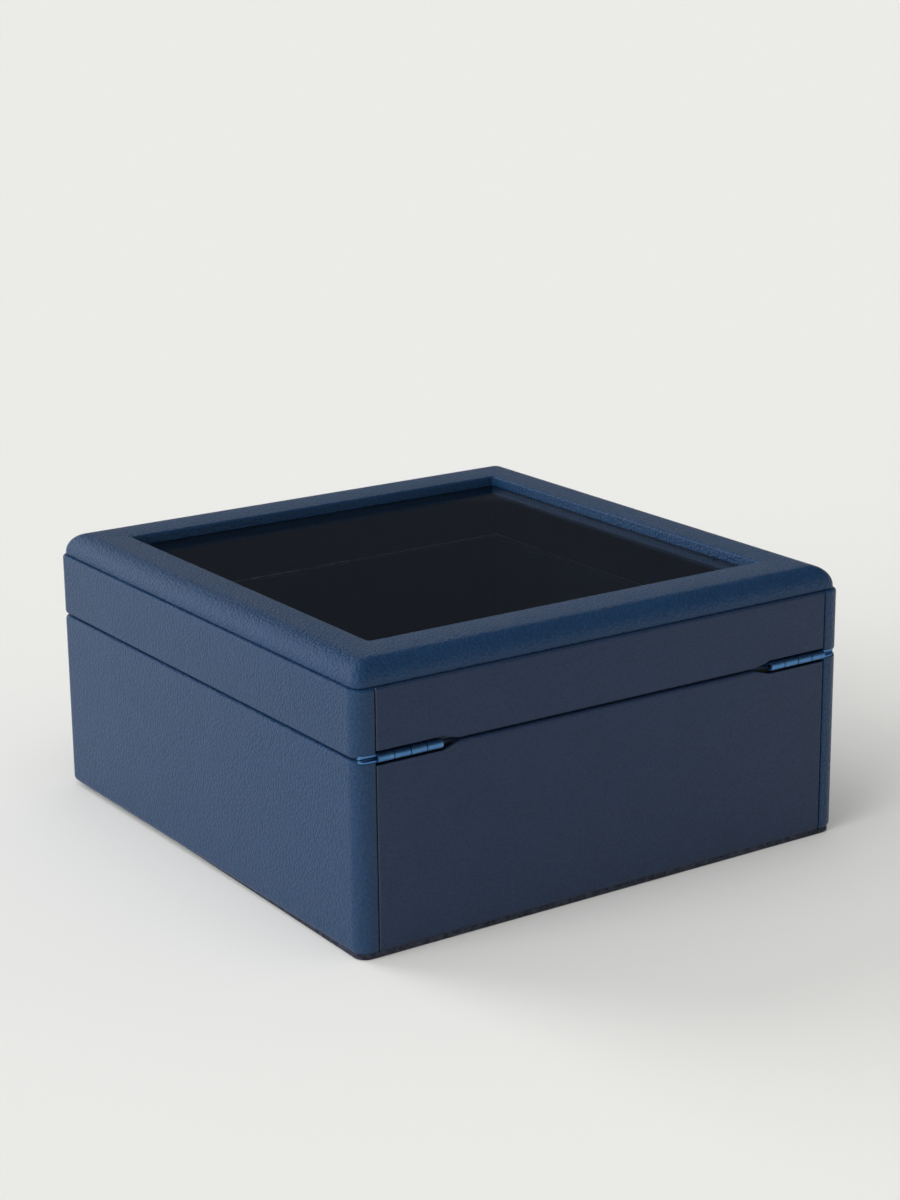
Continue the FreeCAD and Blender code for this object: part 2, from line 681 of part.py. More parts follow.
def cushion_section(x, half_y, z0, z1, centre_y):
    """One upright section of a watch cushion: two large arcs on top and two bevels at its foot."""
    turn = math.sqrt(0.5)
    arcs = []
    for side in (1, -1):
        centre = Vector(x, centre_y + side * (half_y - CUSHION_TOP_R), z1 - CUSHION_TOP_R)
        outer = centre + Vector(0, side * CUSHION_TOP_R, 0)
        middle = centre + Vector(0, side * CUSHION_TOP_R * turn, CUSHION_TOP_R * turn)
        upper = centre + Vector(0, 0, CUSHION_TOP_R)
        arcs.append((outer, middle, upper))
    right, left = arcs
    foot = [
        left[0],
        Vector(x, centre_y - half_y, z0 + CUSHION_FOOT_BEVEL),
        Vector(x, centre_y - half_y + CUSHION_FOOT_BEVEL, z0),
        Vector(x, centre_y + half_y - CUSHION_FOOT_BEVEL, z0),
        Vector(x, centre_y + half_y, z0 + CUSHION_FOOT_BEVEL),
        right[0],
    ]
    edges = [Part.Arc(*right).toShape(), Part.LineSegment(right[2], left[2]).toShape()]
    edges.append(Part.Arc(left[2], left[1], left[0]).toShape())
    for start, end in zip(foot, foot[1:]):
        edges.append(Part.LineSegment(start, end).toShape())
    return Part.Wire(edges)


def cushion(centre_x, centre_y, cell_x, cell_y):
    """A watch cushion with a crowned top and drawn-in ends."""
    half_x = cell_x / 2 - CUSHION_SIDE_GAP
    half_y = cell_y / 2 - CUSHION_END_GAP
    z0 = CELL_Z + CUSHION_FOOT_GAP
    sections = []
    for share in (-1.0, -0.84, 0.0, 0.84, 1.0):
        end = share ** CUSHION_END_POWER
        fall = share ** 2 * CUSHION_EVEN_SHARE + end * (1 - CUSHION_EVEN_SHARE)
        x = centre_x + share * half_x
        low = z0 + CUSHION_FOOT_LIFT * end
        high = z0 + CUSHION_H - CUSHION_CROWN * fall
        sections.append(cushion_section(x, half_y - CUSHION_DRAW_IN * fall, low, high, centre_y))
    return Part.makeLoft(sections, True, True)


def cushion_nodes():
    """One cushion in every watch cell."""
    columns, cell_x = column_places()
    cell_y = ROW_PITCH - DIVIDER_T
    nodes = {}
    number = 0
    for row in row_places():
        for column in range(WATCH_COLUMNS):
            number += 1
            x = -INSIDE_X + cell_x / 2 + column * (cell_x + DIVIDER_T)
            y = row + DIVIDER_T / 2 + cell_y / 2
            nodes["watch_cushion_%d" % number] = cushion(x, y, cell_x, cell_y)
    return nodes


def frame_form(shell, foot_bevel, steps):
    """The lid frame's outer form, set in by shell: an upright foot under a rounded shoulder."""
    foot_inset = FRAME_INSET + shell
    foot_r = CORNER_R - foot_inset
    shoulder_z = STEP_Z + FRAME_UPRIGHT
    width = FRAME_ROUND_W - shell
    height = TOP_Z - shoulder_z - shell
    stations = [(foot_inset + foot_bevel, foot_r - foot_bevel, STEP_Z)]
    if foot_bevel:
        stations.append((foot_inset, foot_r, STEP_Z + foot_bevel))
    for angle in quarter_turn(steps):
        inset = foot_inset + width * (1 - math.cos(angle))
        radius = FRAME_MITRE_R + (foot_r - FRAME_MITRE_R) * math.cos(angle)
        stations.append((inset, radius, shoulder_z + height * math.sin(angle)))
    return layered(stations)


def opening(grow, z0, z1):
    """The lid's window, grown by grow, with square corners."""
    return slab(-OPEN_X - grow, OPEN_X + grow, -OPEN_Y - grow, OPEN_Y + grow, z0, z1)


def leather_opening(z0, z1):
    """The window in the frame's leather, with small rounded corners and a bevelled top edge."""
    levels = [(0.0, z0), (0.0, TOP_Z - OPENING_BEVEL), (OPENING_BEVEL + z1 - TOP_Z, z1)]
    rings = []
    for grow, z in levels:
        rings.append(rounded_ring(OPEN_X + grow, OPEN_Y + grow, OPENING_CORNER_R + grow, z))
    return skinned(rings)


def rebate(z0, z1):
    """The seat of the glass under the frame's lip."""
    x = OPEN_X + REBATE_W
    y = OPEN_Y + REBATE_W
    return slab(-x, x, -y, y, z0, z1)


def lid_frame_nodes():
    """The mitred frame, its leather, the glass and what holds it."""
    low = STEP_Z - PAST
    high = TOP_Z + PAST
    core = frame_form(LEATHER_T, 0, BOARD_STEPS).cut(opening(LEATHER_T, low, high))
    core = core.cut(rebate(low, GLASS_Z + LEATHER_T))
    nodes = {}
    for side in SIDES:
        nodes["lid_frame_" + side] = core.common(mitre(side, FRAME_SIDE_W, FRAME_END_W, low, high))
    skin = frame_form(0, FRAME_FOOT_BEVEL, SHOULDER_STEPS).cut(leather_opening(low, high))
    nodes["lid_frame_skin"] = skin.cut(core).cut(rebate(low, GLASS_Z))
    x = OPEN_X + REBATE_W - GLASS_FIT
    y = OPEN_Y + REBATE_W - GLASS_FIT
    nodes["glass_pane"] = slab(-x, x, -y, y, GLASS_Z - GLASS_T, GLASS_Z)
    bead_top = GLASS_Z - GLASS_T - BEAD_UNDER_GLASS_GAP
    bead = slab(-x, x, -y, y, STEP_Z, bead_top).cut(opening(BEAD_SET_BACK, low, high))
    strips = [bead.common(mitre(side, FRAME_SIDE_W, FRAME_END_W, low, high)) for side in SIDES]
    nodes["glass_bead"] = Part.Compound(strips)
    return nodes


def lid_nodes():
    """The lid's carcass, leather and linings."""
    form = case_form(LID_Z, STEP_Z, RIM_R, STEP_R)
    core = board_form(LID_Z + LEATHER_T, STEP_Z - LEATHER_T)
    cuts = lid_cuts()
    nodes = walls("lid_wall", core, cuts, LID_Z, STEP_Z)
    wrap, panel = leather(form, core, cuts, LID_Z, STEP_Z)
    nodes["lid_wrap"] = wrap
    nodes["lid_back_panel"] = panel
    top_z = STEP_Z - LEATHER_T
    ceiling = slab(-CAVITY_X, CAVITY_X, -CAVITY_Y, CAVITY_Y, top_z, STEP_Z)
    nodes["lid_ceiling_liner"] = ceiling.cut(opening(BEAD_SET_BACK, top_z - PAST, STEP_Z + PAST))
    inner_x = CAVITY_X - LID_LINER_T
    inner_y = CAVITY_Y - LID_LINER_T
    boards = [
        slab(-CAVITY_X, CAVITY_X, -CAVITY_Y, -inner_y, LID_Z, top_z),
        slab(-CAVITY_X, CAVITY_X, inner_y, CAVITY_Y, LID_Z, top_z),
        slab(-CAVITY_X, -inner_x, -inner_y, inner_y, LID_Z, top_z),
        slab(inner_x, CAVITY_X, -inner_y, inner_y, LID_Z, top_z),
    ]
    nodes["lid_liner"] = Part.Compound(boards)
    return nodes


def hinge_nodes():
    """Both hinges: base leaves, lid leaves, pins and screws."""
    base_leaf = hinge_leaf(RIM_Z - LEAF_T, RIM_Z, 0).cut(hinge_screws(RIM_Z, True, SCREW_FIT))
    lid_leaf = hinge_leaf(LID_Z, LID_Z + LEAF_T, 1).cut(hinge_screws(LID_Z, False, SCREW_FIT))
    pin = hinge_pin()
    return {
        "hinge_base_leaf_right": base_leaf,
        "hinge_base_leaf_left": mirrored(base_leaf),
        "hinge_lid_leaf_right": lid_leaf,
        "hinge_lid_leaf_left": mirrored(lid_leaf),
        "hinge_pin_right": pin,
        "hinge_pin_left": mirrored(pin),
        "hinge_screws_base": Part.Compound(hinge_screws(RIM_Z, True)),
        "hinge_screws_lid": Part.Compound(hinge_screws(LID_Z, False)),
    }


def lock_nodes():
    """The hook lock and its strike."""
    y = LOCK_Y + CASE_T / 2
    return {
        "lock_case": lock_case(),
        "lock_plug": lock_plug(),
        "lock_hook": lock_hook(),
        "lock_rose": lock_rose(),
        "strike_plate": strike_plate(),
        "lock_screws": Part.Compound([screw(x, y, RIM_Z, True) for x in plate_screws()]),
        "strike_screws": Part.Compound([screw(x, y, LID_Z, False) for x in plate_screws()]),
    }


def main():
    """Build every piece and write one STEP file for each."""
    os.makedirs("parts", exist_ok=True)
    nodes = {}
    for make in (base_nodes, divider_nodes, cushion_nodes, lid_nodes, lid_frame_nodes):
        nodes.update(make())
    for make in (hinge_nodes, lock_nodes):
        nodes.update(make())
    for name, shape in sorted(nodes.items()):
        shape.exportStep(os.path.join("parts", name + ".step"))
        print("%-24s solids %d  volume %.1f" % (name, len(shape.Solids), shape.Volume))
    print("nodes", len(nodes))


main()
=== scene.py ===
import json
import math

import bmesh
import bpy
from mathutils import Matrix, Vector


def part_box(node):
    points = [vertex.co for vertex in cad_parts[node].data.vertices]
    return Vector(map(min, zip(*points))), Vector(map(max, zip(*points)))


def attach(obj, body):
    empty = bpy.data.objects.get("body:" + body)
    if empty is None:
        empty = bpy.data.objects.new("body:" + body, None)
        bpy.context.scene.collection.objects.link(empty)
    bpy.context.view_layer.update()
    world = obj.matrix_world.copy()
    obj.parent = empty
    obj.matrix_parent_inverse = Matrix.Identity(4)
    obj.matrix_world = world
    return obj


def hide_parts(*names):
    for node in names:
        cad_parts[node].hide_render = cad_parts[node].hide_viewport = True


# Watch box with a glazed lid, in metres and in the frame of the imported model: its hinges are at +Y.
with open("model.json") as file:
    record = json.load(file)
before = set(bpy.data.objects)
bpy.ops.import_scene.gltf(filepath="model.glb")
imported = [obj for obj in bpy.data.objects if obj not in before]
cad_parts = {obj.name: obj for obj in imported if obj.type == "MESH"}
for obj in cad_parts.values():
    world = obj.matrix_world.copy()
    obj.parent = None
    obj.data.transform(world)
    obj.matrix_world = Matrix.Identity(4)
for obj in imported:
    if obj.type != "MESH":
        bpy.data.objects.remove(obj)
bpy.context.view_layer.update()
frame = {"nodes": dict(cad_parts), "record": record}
MM = 0.001

# Sizes that the frame gives
WRAP_LOW, WRAP_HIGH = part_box("base_wrap")
LID_LOW, LID_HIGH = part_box("lid_wrap")
FRAME_LOW, FRAME_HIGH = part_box("lid_frame_skin")
GLASS_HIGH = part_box("glass_pane")[1]
PANEL_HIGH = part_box("base_back_panel")[1]
LEAF_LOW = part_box("hinge_base_leaf_right")[0]
PIN_LOW, PIN_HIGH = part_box("hinge_pin_right")
ROSE_LOW, ROSE_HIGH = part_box("lock_rose")
HALF_W = WRAP_HIGH.x
HALF_D = WRAP_HIGH.y
SPLIT_Z = (WRAP_HIGH.z + LID_LOW.z) / 2
BARREL_Y = (PIN_LOW.y + PIN_HIGH.y) / 2
LOCK_Z = (ROSE_LOW.z + ROSE_HIGH.z) / 2

# How finely round shapes are cut, and the corners of a level rectangle, turning left: the signs of x
# and y, and the angle at which each starts
CORNER_STEPS = 14
ROUND_STEPS = 6
SHOULDER_STEPS = 16
FRAME_FOOT_STEPS = 4
CORNERS = ((1, 1, 0.0), (-1, 1, math.pi / 2), (-1, -1, math.pi), (1, -1, 1.5 * math.pi))
MERGE_DISTANCE = 1e-6

# Leather over the boards: how far it turns in at the rim and the foot, and its rounds
SKIN_T = 1.2 * MM
WALL_IN = 9.2 * MM
FOOT_IN = 5.0 * MM
CORNER_R = 6.6 * MM
LEAST_CORNER_R = 0.3 * MM
RIM_R = 2.0 * MM
FOOT_R = 3.0 * MM
STEP_R = 1.2 * MM

# Seams beside the back panels, where both edges roll in, with a lighter strip on the panel's rolled edge as a
# painted highlight
SEAM_GAP = 0.5 * MM
SEAM_ROLL_W = 1.1 * MM
SEAM_ROLL_DEPTH = 0.7 * MM
ROLL_SHARES = (0.0, 0.08, 0.2, 0.4, 0.7, 1.0)
ROLL_WITHIN = FOOT_R + 0.1 * MM
HIGHLIGHT_STRIP_W = 0.28 * MM
HIGHLIGHT_STRIP_FACING = 0.2

# Lid frame, with its shoulder, its window, and its hidden back against the glass and the boards
FRAME_INSET = 1.5 * MM
FRAME_UPRIGHT = 1.1 * MM
FRAME_ROUND_W = 9.6 * MM
FRAME_TOP_R = 1.3 * MM
FRAME_FOOT_R = 0.7 * MM
FRAME_BACK_FLARE = 0.4 * MM
WINDOW_X = 102.3 * MM
WINDOW_Y = 102.3 * MM
WINDOW_R = 1.2 * MM
WINDOW_EDGE_R = 1.0 * MM
GLASS_GAP = 0.05 * MM

# Hinge and lock recesses in the leather
CHANNEL_Y = BARREL_Y - 2.4 * MM
CHANNEL_H = 3.1 * MM
CHANNEL_TIP = 0.5 * MM
CHANNEL_CLEAR = 0.4 * MM
CHANNEL_RUN_OUT = 8.8 * MM
LEAF_T = 1.4 * MM
LEAF_W = 7.6 * MM
LEAF_INSET = 0.6 * MM
LEAF_SIDE_INSET = 2.3 * MM
LEAF_FIT = 0.1 * MM
SLEEVE_R = 5.4 * MM
SLEEVE_DEPTH = 5.0 * MM
SLEEVE_SIDES = 48
PLATE_T = 1.2 * MM
CUT_PAST = 10.0 * MM

# Padded blocks: corner radii as shares of the edge's radius, and the least ones
PILLOW_STEPS = 10
PILLOW_CORNER = 0.8
PILLOW_CORNER_LOSS = 0.5
PILLOW_CORNER_LEAST = 0.15 * MM
PILLOW_CROWN_CORNER = 0.3
PILLOW_CROWN_LEAST = 0.1 * MM

# Linings, each with the radius of its edge and the height of its crown
WALL_LINING = (1.6 * MM, 0.35 * MM)
FLOOR_LINING = (0.8 * MM, 0.1 * MM)
LID_LINING = (0.6 * MM, 0.1 * MM)
LID_LINING_T = 0.8 * MM
CEILING_EDGE_R = 0.8 * MM
CEILING_CORNER_R = 0.5 * MM
BEAD_SET_BACK = 0.8 * MM
DIVIDER_EDGE_R = 1.3 * MM

# Pad: at its full width in a strip at the back, and drawn in at both sides before it
PAD_EDGE = 0.5 * MM
PAD_TOP_EDGE = 0.2 * MM
PAD_CORNER_R = 5.5 * MM
PAD_DRAWN_IN = 4.3 * MM
PAD_BACK_STRIP = 12.0 * MM

# Cushions: the block before it is filled, the filling, and the piping on their end seams
CUSHION_COUNT = 8
CUSHION_SHRINK = (1.4 * MM, 1.6 * MM, 1.2 * MM)
CUSHION_EDGE_R = 11.0 * MM
CUSHION_CROWN = 2.0 * MM
CUSHION_STEPS = 8
CUSHION_VOXEL = 2.4 * MM
FILL_PRESSURE = 4.0
FILL_STRETCH_STIFFNESS = 20.0
FILL_BENDING_STIFFNESS = 2.0
FILL_QUALITY = 6
FILL_FRAMES = 20
FILL_LIMIT = 3.0 * MM
PIPING_R = 0.55 * MM
PIPING_FROM_END = 5.0 * MM
PIPING_SIDES = 8
PIPING_POINTS = 72
PIPING_ROUNDS = 3

# Leather's grain: how much its pebbles are bent and by how coarse a noise, how much finer the grain
# on them is, and the scale of its soft patches
GRAIN_BEND = 0.00035
GRAIN_BEND_SCALE = 0.7
FINE_GRAIN_SCALE = 2.6
PATCH_SCALE = 60.0

# Angles in degrees above which an edge stays sharp, and the bevels in millimetres of the CAD nodes
SHARP_FROM = 35.0
CUSHION_SHARP_FROM = 80.0
CAD_SHARP_FROM = 32.0
BEVEL_FROM = 40.0
BEVEL_SEGMENTS = 2
BEVELS = {"hinge": 0.2, "lock": 0.12, "strike": 0.12, "glass_bead": 0.3, "glass_pane": 0.3}

# Camera, solved from the photograph's straight edges
CAMERA_AT = (0.62724, 0.93959, 0.42454)
CAMERA_FORWARD = (-0.53731, -0.79686, -0.27624)
CAMERA_UP = (-0.16323, -0.22308, 0.96104)
CAMERA_LENS = 77.204
CAMERA_SENSOR = 36.0
CAMERA_CLIP = 200.0

# Soft lamps: a broad key from +X, one from the front that glances off rounded edges, and one from
# above. Each has where it shines from, its strength, and its width in degrees.
LAMPS = {
    "key": ((0.93, 0.10, 0.38), 1.85, 50.0),
    "edge": ((0.36, -0.82, 0.42), 1.3, 36.0),
    "top": ((0.15, 0.25, 0.95), 0.6, 60.0),
}

# A lamp's soft image in the world: full up to one angle from its middle, and gone at the other
GLOW_FROM = 8.0
GLOW_TO = 46.0

# Even surround, and the backdrop. The camera sees the backdrop pale. Glass and gloss see it pale near
# the horizon and dark above, between two heights of a view line's direction.
SURROUND = 0.40
SURROUND_COLOUR = (1.0, 1.0, 0.985)
BACKDROP_PALE_TO = 0.10
BACKDROP_DARK_FROM = 0.24
BACKDROP_PALE = (0.84, 0.84, 0.81)
BACKDROP_DARK = (0.025, 0.030, 0.040)
FLOOR_COLOUR = (0.85, 0.85, 0.83)
FLOOR_REACH = 40.0


# Nodes of a material

def new_material(name):
    """A material with nodes, and its shader."""
    material = bpy.data.materials.new(name)
    material.use_nodes = True
    shader = material.node_tree.nodes["Principled BSDF"]
    return material, shader


def add(material, kind, **values):
    """A node with some of its settings and inputs."""
    node = material.node_tree.nodes.new(kind)
    for key, value in values.items():
        if hasattr(node, key):
            setattr(node, key, value)
        else:
            node.inputs[key.replace("_", " ")].default_value = value
    return node


def link(material, source, target):
    material.node_tree.links.new(source, target)


def place(material, stretch=(1.0, 1.0, 1.0)):
    """The piece's own coordinates, in metres."""
    coordinates = add(material, "ShaderNodeTexCoord")
    mapping = add(material, "ShaderNodeMapping")
    mapping.inputs["Scale"].default_value = stretch
    link(material, coordinates.outputs["Object"], mapping.inputs["Vector"])
    return mapping.outputs["Vector"]


def noise(material, vector, scale, detail=3.0, roughness=0.6):
    node = add(material, "ShaderNodeTexNoise", Scale=scale, Detail=detail, Roughness=roughness)
    link(material, vector, node.inputs["Vector"])
    return node.outputs["Fac"]


def cells(material, vector, scale):
    node = add(material, "ShaderNodeTexVoronoi", feature="F1", Scale=scale)
    link(material, vector, node.inputs["Vector"])
    return node.outputs["Distance"]


def ramp(material, value, stops):
    """A colour ramp through (position, colour) stops."""
    node = add(material, "ShaderNodeValToRGB")
    for element, (position, colour) in zip(node.color_ramp.elements, stops):
        element.position = position
        element.color = (*colour, 1.0)
    link(material, value, node.inputs["Fac"])
    return node.outputs["Color"]


def spread(material, value, low, high, to_low=0.0, to_high=1.0, curve="LINEAR"):
    """A value mapped from one range to another."""
    node = add(material, "ShaderNodeMapRange", interpolation_type=curve)
    for name, number in (("From Min", low), ("From Max", high), ("To Min", to_low), ("To Max", to_high)):
        node.inputs[name].default_value = number
    link(material, value, node.inputs["Value"])
    return node.outputs["Result"]


def math_node(material, operation, first, second=0.0):
    node = add(material, "ShaderNodeMath", operation=operation)
    for number, value in enumerate((first, second)):
        if isinstance(value, (int, float)):
            node.inputs[number].default_value = value
        else:
            link(material, value, node.inputs[number])
    return node.outputs["Value"]


def weighted(material, *parts):
    """The sum of several values, each given with its weight."""
    total = None
    for value, weight in parts:
        share = math_node(material, "MULTIPLY", value, weight)
        total = share if total is None else math_node(material, "ADD", total, share)
    return total


def bump(material, shader, height, distance, strength=1.0):
    node = add(material, "ShaderNodeBump", Strength=strength, Distance=distance)
    link(material, height, node.inputs["Height"])
    link(material, node.outputs["Normal"], shader.inputs["Normal"])


# Materials

def leather(name, dark, light, grain, roughness, depth, shine):
    """Grained leather: round pebbles with finer grain on them, slightly uneven in colour and gloss."""
    material, shader = new_material(name)
    where = place(material)
    warp = add(material, "ShaderNodeTexNoise", Scale=grain * GRAIN_BEND_SCALE, Detail=2.0)
    link(material, where, warp.inputs["Vector"])
    mix = add(material, "ShaderNodeMix", data_type="VECTOR")
    mix.inputs["Factor"].default_value = GRAIN_BEND
    link(material, where, mix.inputs["A"])
    link(material, warp.outputs["Color"], mix.inputs["B"])
    centres = cells(material, mix.outputs["Result"], grain)
    pebbles = spread(material, centres, low=0.15, high=0.75, to_low=1.0, to_high=0.0)
    fine = noise(material, where, scale=grain * FINE_GRAIN_SCALE, detail=4.0)
    patches = noise(material, where, scale=PATCH_SCALE, detail=4.0)
    shade = weighted(material, (pebbles, 0.6), (patches, 0.4))
    link(material, ramp(material, shade, [(0.2, dark), (0.85, light)]), shader.inputs["Base Color"])
    uneven = spread(material, fine, low=0.3, high=0.7, to_low=roughness - 0.07, to_high=roughness + 0.10)
    link(material, uneven, shader.inputs["Roughness"])
    shader.inputs["Specular IOR Level"].default_value = shine
    bump(material, shader, weighted(material, (pebbles, 1.0), (fine, 0.55), (patches, 0.35)), depth)
    return material


def suede(name, dark, light, nap):
    """A short dense nap with soft brushed patches and a sheen."""
    material, shader = new_material(name)
    where = place(material)
    fibres = noise(material, where, scale=nap, detail=6.0, roughness=0.75)
    brushed = noise(material, where, scale=38.0)
    shade = weighted(material, (fibres, 0.45), (brushed, 0.55))
    link(material, ramp(material, shade, [(0.35, dark), (0.68, light)]), shader.inputs["Base Color"])
    shader.inputs["Roughness"].default_value = 0.92
    shader.inputs["Specular IOR Level"].default_value = 0.2
    shader.inputs["Sheen Weight"].default_value = 0.1
    shader.inputs["Sheen Roughness"].default_value = 0.5
    bump(material, shader, fibres, distance=0.00012, strength=0.6)
    return material


def cloth(name, dark, light, pitch):
    """A coarse plain weave with uneven yarns."""
    material, shader = new_material(name)
    where = place(material)
    axes = add(material, "ShaderNodeSeparateXYZ")
    link(material, where, axes.inputs["Vector"])
    waves = {}
    for axis in "XYZ":
        turn = math_node(material, "MULTIPLY", axes.outputs[axis], 2 * math.pi / pitch)
        waves[axis] = math_node(material, "SINE", turn)
    weave = math_node(material, "MULTIPLY", waves["X"], math_node(material, "ADD", waves["Y"], waves["Z"]))
    mottle = noise(material, where, scale=420.0, detail=5.0, roughness=0.7)
    link(material, ramp(material, mottle, [(0.38, dark), (0.66, light)]), shader.inputs["Base Color"])
    shader.inputs["Roughness"].default_value = 0.9
    shader.inputs["Specular IOR Level"].default_value = 0.25
    height = weighted(material, (weave, 0.25), (mottle, 1.0))
    bump(material, shader, height, distance=0.0002, strength=0.8)
    return material


def board(name, dark, light):
    """Near-black fibreboard: pressed fibres with a faint lengthwise grain."""
    material, shader = new_material(name)
    fibres = noise(material, place(material, (1.0, 1.0, 6.0)), scale=500.0, detail=6.0, roughness=0.7)
    link(material, ramp(material, fibres, [(0.35, dark), (0.7, light)]), shader.inputs["Base Color"])
    shader.inputs["Roughness"].default_value = 0.8
    bump(material, shader, fibres, distance=0.00008, strength=0.5)
    return material


def metal(name, dark, light, roughness, brushing):
    """Metal with fine brushing that breaks its gloss."""
    material, shader = new_material(name)
    lines = noise(material, place(material, brushing), scale=900.0)
    wear = noise(material, place(material), scale=130.0)
    link(material, ramp(material, wear, [(0.3, dark), (0.7, light)]), shader.inputs["Base Color"])
    shader.inputs["Metallic"].default_value = 1.0
    uneven = spread(material, lines, low=0.3, high=0.7, to_low=roughness - 0.06, to_high=roughness + 0.08)
    link(material, uneven, shader.inputs["Roughness"])
    bump(material, shader, lines, distance=0.00003, strength=0.35)
    return material


def glass(name):
    """Clear polished glass."""
    material, shader = new_material(name)
    shader.inputs["Base Color"].default_value = (0.86, 0.93, 0.95, 1.0)
    shader.inputs["Transmission Weight"].default_value = 1.0
    shader.inputs["Roughness"].default_value = 0.0
    shader.inputs["IOR"].default_value = 1.5
    return material


ACROSS = (0.2, 1.0, 1.0)
EVEN = (1.0, 1.0, 1.0)
MATERIALS = {
    "grained_leather": leather("grained_leather", (0.008, 0.033, 0.085), (0.012, 0.045, 0.112), grain=760.0,
                               roughness=0.38, depth=0.00022, shine=0.28),
    "smooth_leather": leather("smooth_leather", (0.011, 0.025, 0.062), (0.017, 0.037, 0.086), grain=1300.0,
                              roughness=0.50, depth=0.00010, shine=0.3),
    # A lighter, greyer leather that paints a highlight on the back panels' rolled edges
    "painted_edge_highlight": leather("painted_edge_highlight", (0.06, 0.075, 0.095), (0.09, 0.105, 0.125), grain=1300.0,
                            roughness=0.55, depth=0.00006, shine=0.3),
    # The carcass is near black; it shows only in the hinge channels and the gap at the split, which read dark
    # from it.
    "carcass_board": board("carcass_board", (0.003, 0.003, 0.004), (0.008, 0.008, 0.010)),
    "frame_wood": board("frame_wood", (0.004, 0.004, 0.005), (0.010, 0.010, 0.013)),
    "pad_cloth": cloth("pad_cloth", (0.010, 0.012, 0.022), (0.055, 0.06, 0.085), pitch=0.9 * MM),
    "lining_suede": suede("lining_suede", (0.010, 0.013, 0.019), (0.020, 0.026, 0.040), nap=1500.0),
    "cushion_suede": suede("cushion_suede", (0.005, 0.007, 0.013), (0.010, 0.014, 0.023), nap=1800.0),
    "clear_glass": glass("clear_glass"),
    "blue_metal": metal("blue_metal", (0.08, 0.21, 0.44), (0.12, 0.29, 0.55), 0.48, ACROSS),
    # Near-black pins, as painted shade in the gaps between the hinge knuckles
    "pin_painted_shade": metal("pin_painted_shade", (0.010, 0.014, 0.022), (0.02, 0.026, 0.04), 0.45, EVEN),
    "lock_steel": metal("lock_steel", (0.38, 0.39, 0.41), (0.55, 0.56, 0.58), 0.3, ACROSS),
}


# Meshes

def finish_piece(mesh, name, slot, body, replaced=(), sharp=SHARP_FROM):
    """Links a mesh as a piece that rides on a body, with its material and smooth shading."""
    mesh.name = name
    for polygon in mesh.polygons:
        polygon.use_smooth = True
    mesh.set_sharp_from_angle(angle=math.radians(sharp))
    mesh.materials.clear()
    mesh.materials.append(MATERIALS[slot])
    piece = bpy.data.objects.new(name, mesh)
    bpy.context.scene.collection.objects.link(piece)
    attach(piece, body)
    if replaced:
        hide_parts(*replaced)
    return piece


def corner_points(sign_x, sign_y, half_x, half_y, radius, start):
    """One rounded corner of a level rectangle, turning left from its start angle."""
    points = []
    for step in range(CORNER_STEPS + 1):
        angle = start + math.pi / 2 * step / CORNER_STEPS
        x = sign_x * (half_x - radius) + radius * math.cos(angle)
        y = sign_y * (half_y - radius) + radius * math.sin(angle)
        points.append((x, y))
    return points


def full_ring(half_x, half_y, radius):
    """A whole rounded rectangle, turning left from the end of its right side."""
    points = []
    for sign_x, sign_y, start in CORNERS:
        points += corner_points(sign_x, sign_y, half_x, half_y, radius, start)
    return points


def level_ring(half_x, half_y, radius, z):
    """A whole rounded rectangle at a height."""
    return [(x, y, z) for x, y in full_ring(half_x, half_y, radius)]


def skin_between(rows, closed_rows, closed_columns):
    """A mesh over a grid of points, given as rows, closed either way as asked."""
    work = bmesh.new()
    grid = [[work.verts.new(point) for point in row] for row in rows]
    row_count = len(grid) if closed_rows else len(grid) - 1
    width = len(grid[0])
    column_count = width if closed_columns else width - 1
    for number in range(row_count):
        here = grid[number]
        after = grid[(number + 1) % len(grid)]
        for column in range(column_count):
            right = (column + 1) % width
            work.faces.new((here[column], here[right], after[right], after[column]))
    return work, grid


def to_mesh(work, name):
    """A finished mesh with its doubles merged and its faces turned outwards."""
    bmesh.ops.remove_doubles(work, verts=work.verts, dist=MERGE_DISTANCE)
    bmesh.ops.recalc_face_normals(work, faces=work.faces)
    mesh = bpy.data.meshes.new(name)
    work.to_mesh(mesh)
    work.free()
    return mesh


def band_mesh(name, rows):
    """A closed band over rows of points round its section, with a face across both ends."""
    work, grid = skin_between(rows, True, False)
    work.faces.new([row[0] for row in grid])
    work.faces.new([row[-1] for row in reversed(grid)])
    return to_mesh(work, name)


def stack_mesh(name, rings):
    """A closed block over a stack of rings, with a face across the first and the last."""
    work, grid = skin_between(rings, False, True)
    work.faces.new(grid[0])
    work.faces.new(grid[-1])
    return to_mesh(work, name)


def hoop_mesh(name, rings):
    """A closed hoop over rings that come back to the first one."""
    work, _ = skin_between(rings, True, True)
    return to_mesh(work, name)


def joined(meshes, name):
    """Several meshes as one."""
    work = bmesh.new()
    for mesh in meshes:
        work.from_mesh(mesh)
        bpy.data.meshes.remove(mesh)
    result = bpy.data.meshes.new(name)
    work.to_mesh(result)
    work.free()
    return result


def block_mesh(name, outline, axis, low, high):
    """A prism over an outline of two coordinates, along an axis given by its number."""
    work = bmesh.new()
    rings = []
    for level in (low, high):
        ring = []
        for first, second in outline:
            point = [first, second]
            point.insert(axis, level)
            ring.append(work.verts.new(point))
        rings.append(ring)
    count = len(outline)
    for number in range(count):
        after = (number + 1) % count
        work.faces.new((rings[0][number], rings[0][after], rings[1][after], rings[1][number]))
    work.faces.new(rings[0])
    work.faces.new(rings[1])
    return to_mesh(work, name)


def evaluated_mesh(piece):
    """A piece's mesh with its modifiers applied."""
    return bpy.data.meshes.new_from_object(piece.evaluated_get(bpy.context.evaluated_depsgraph_get()))


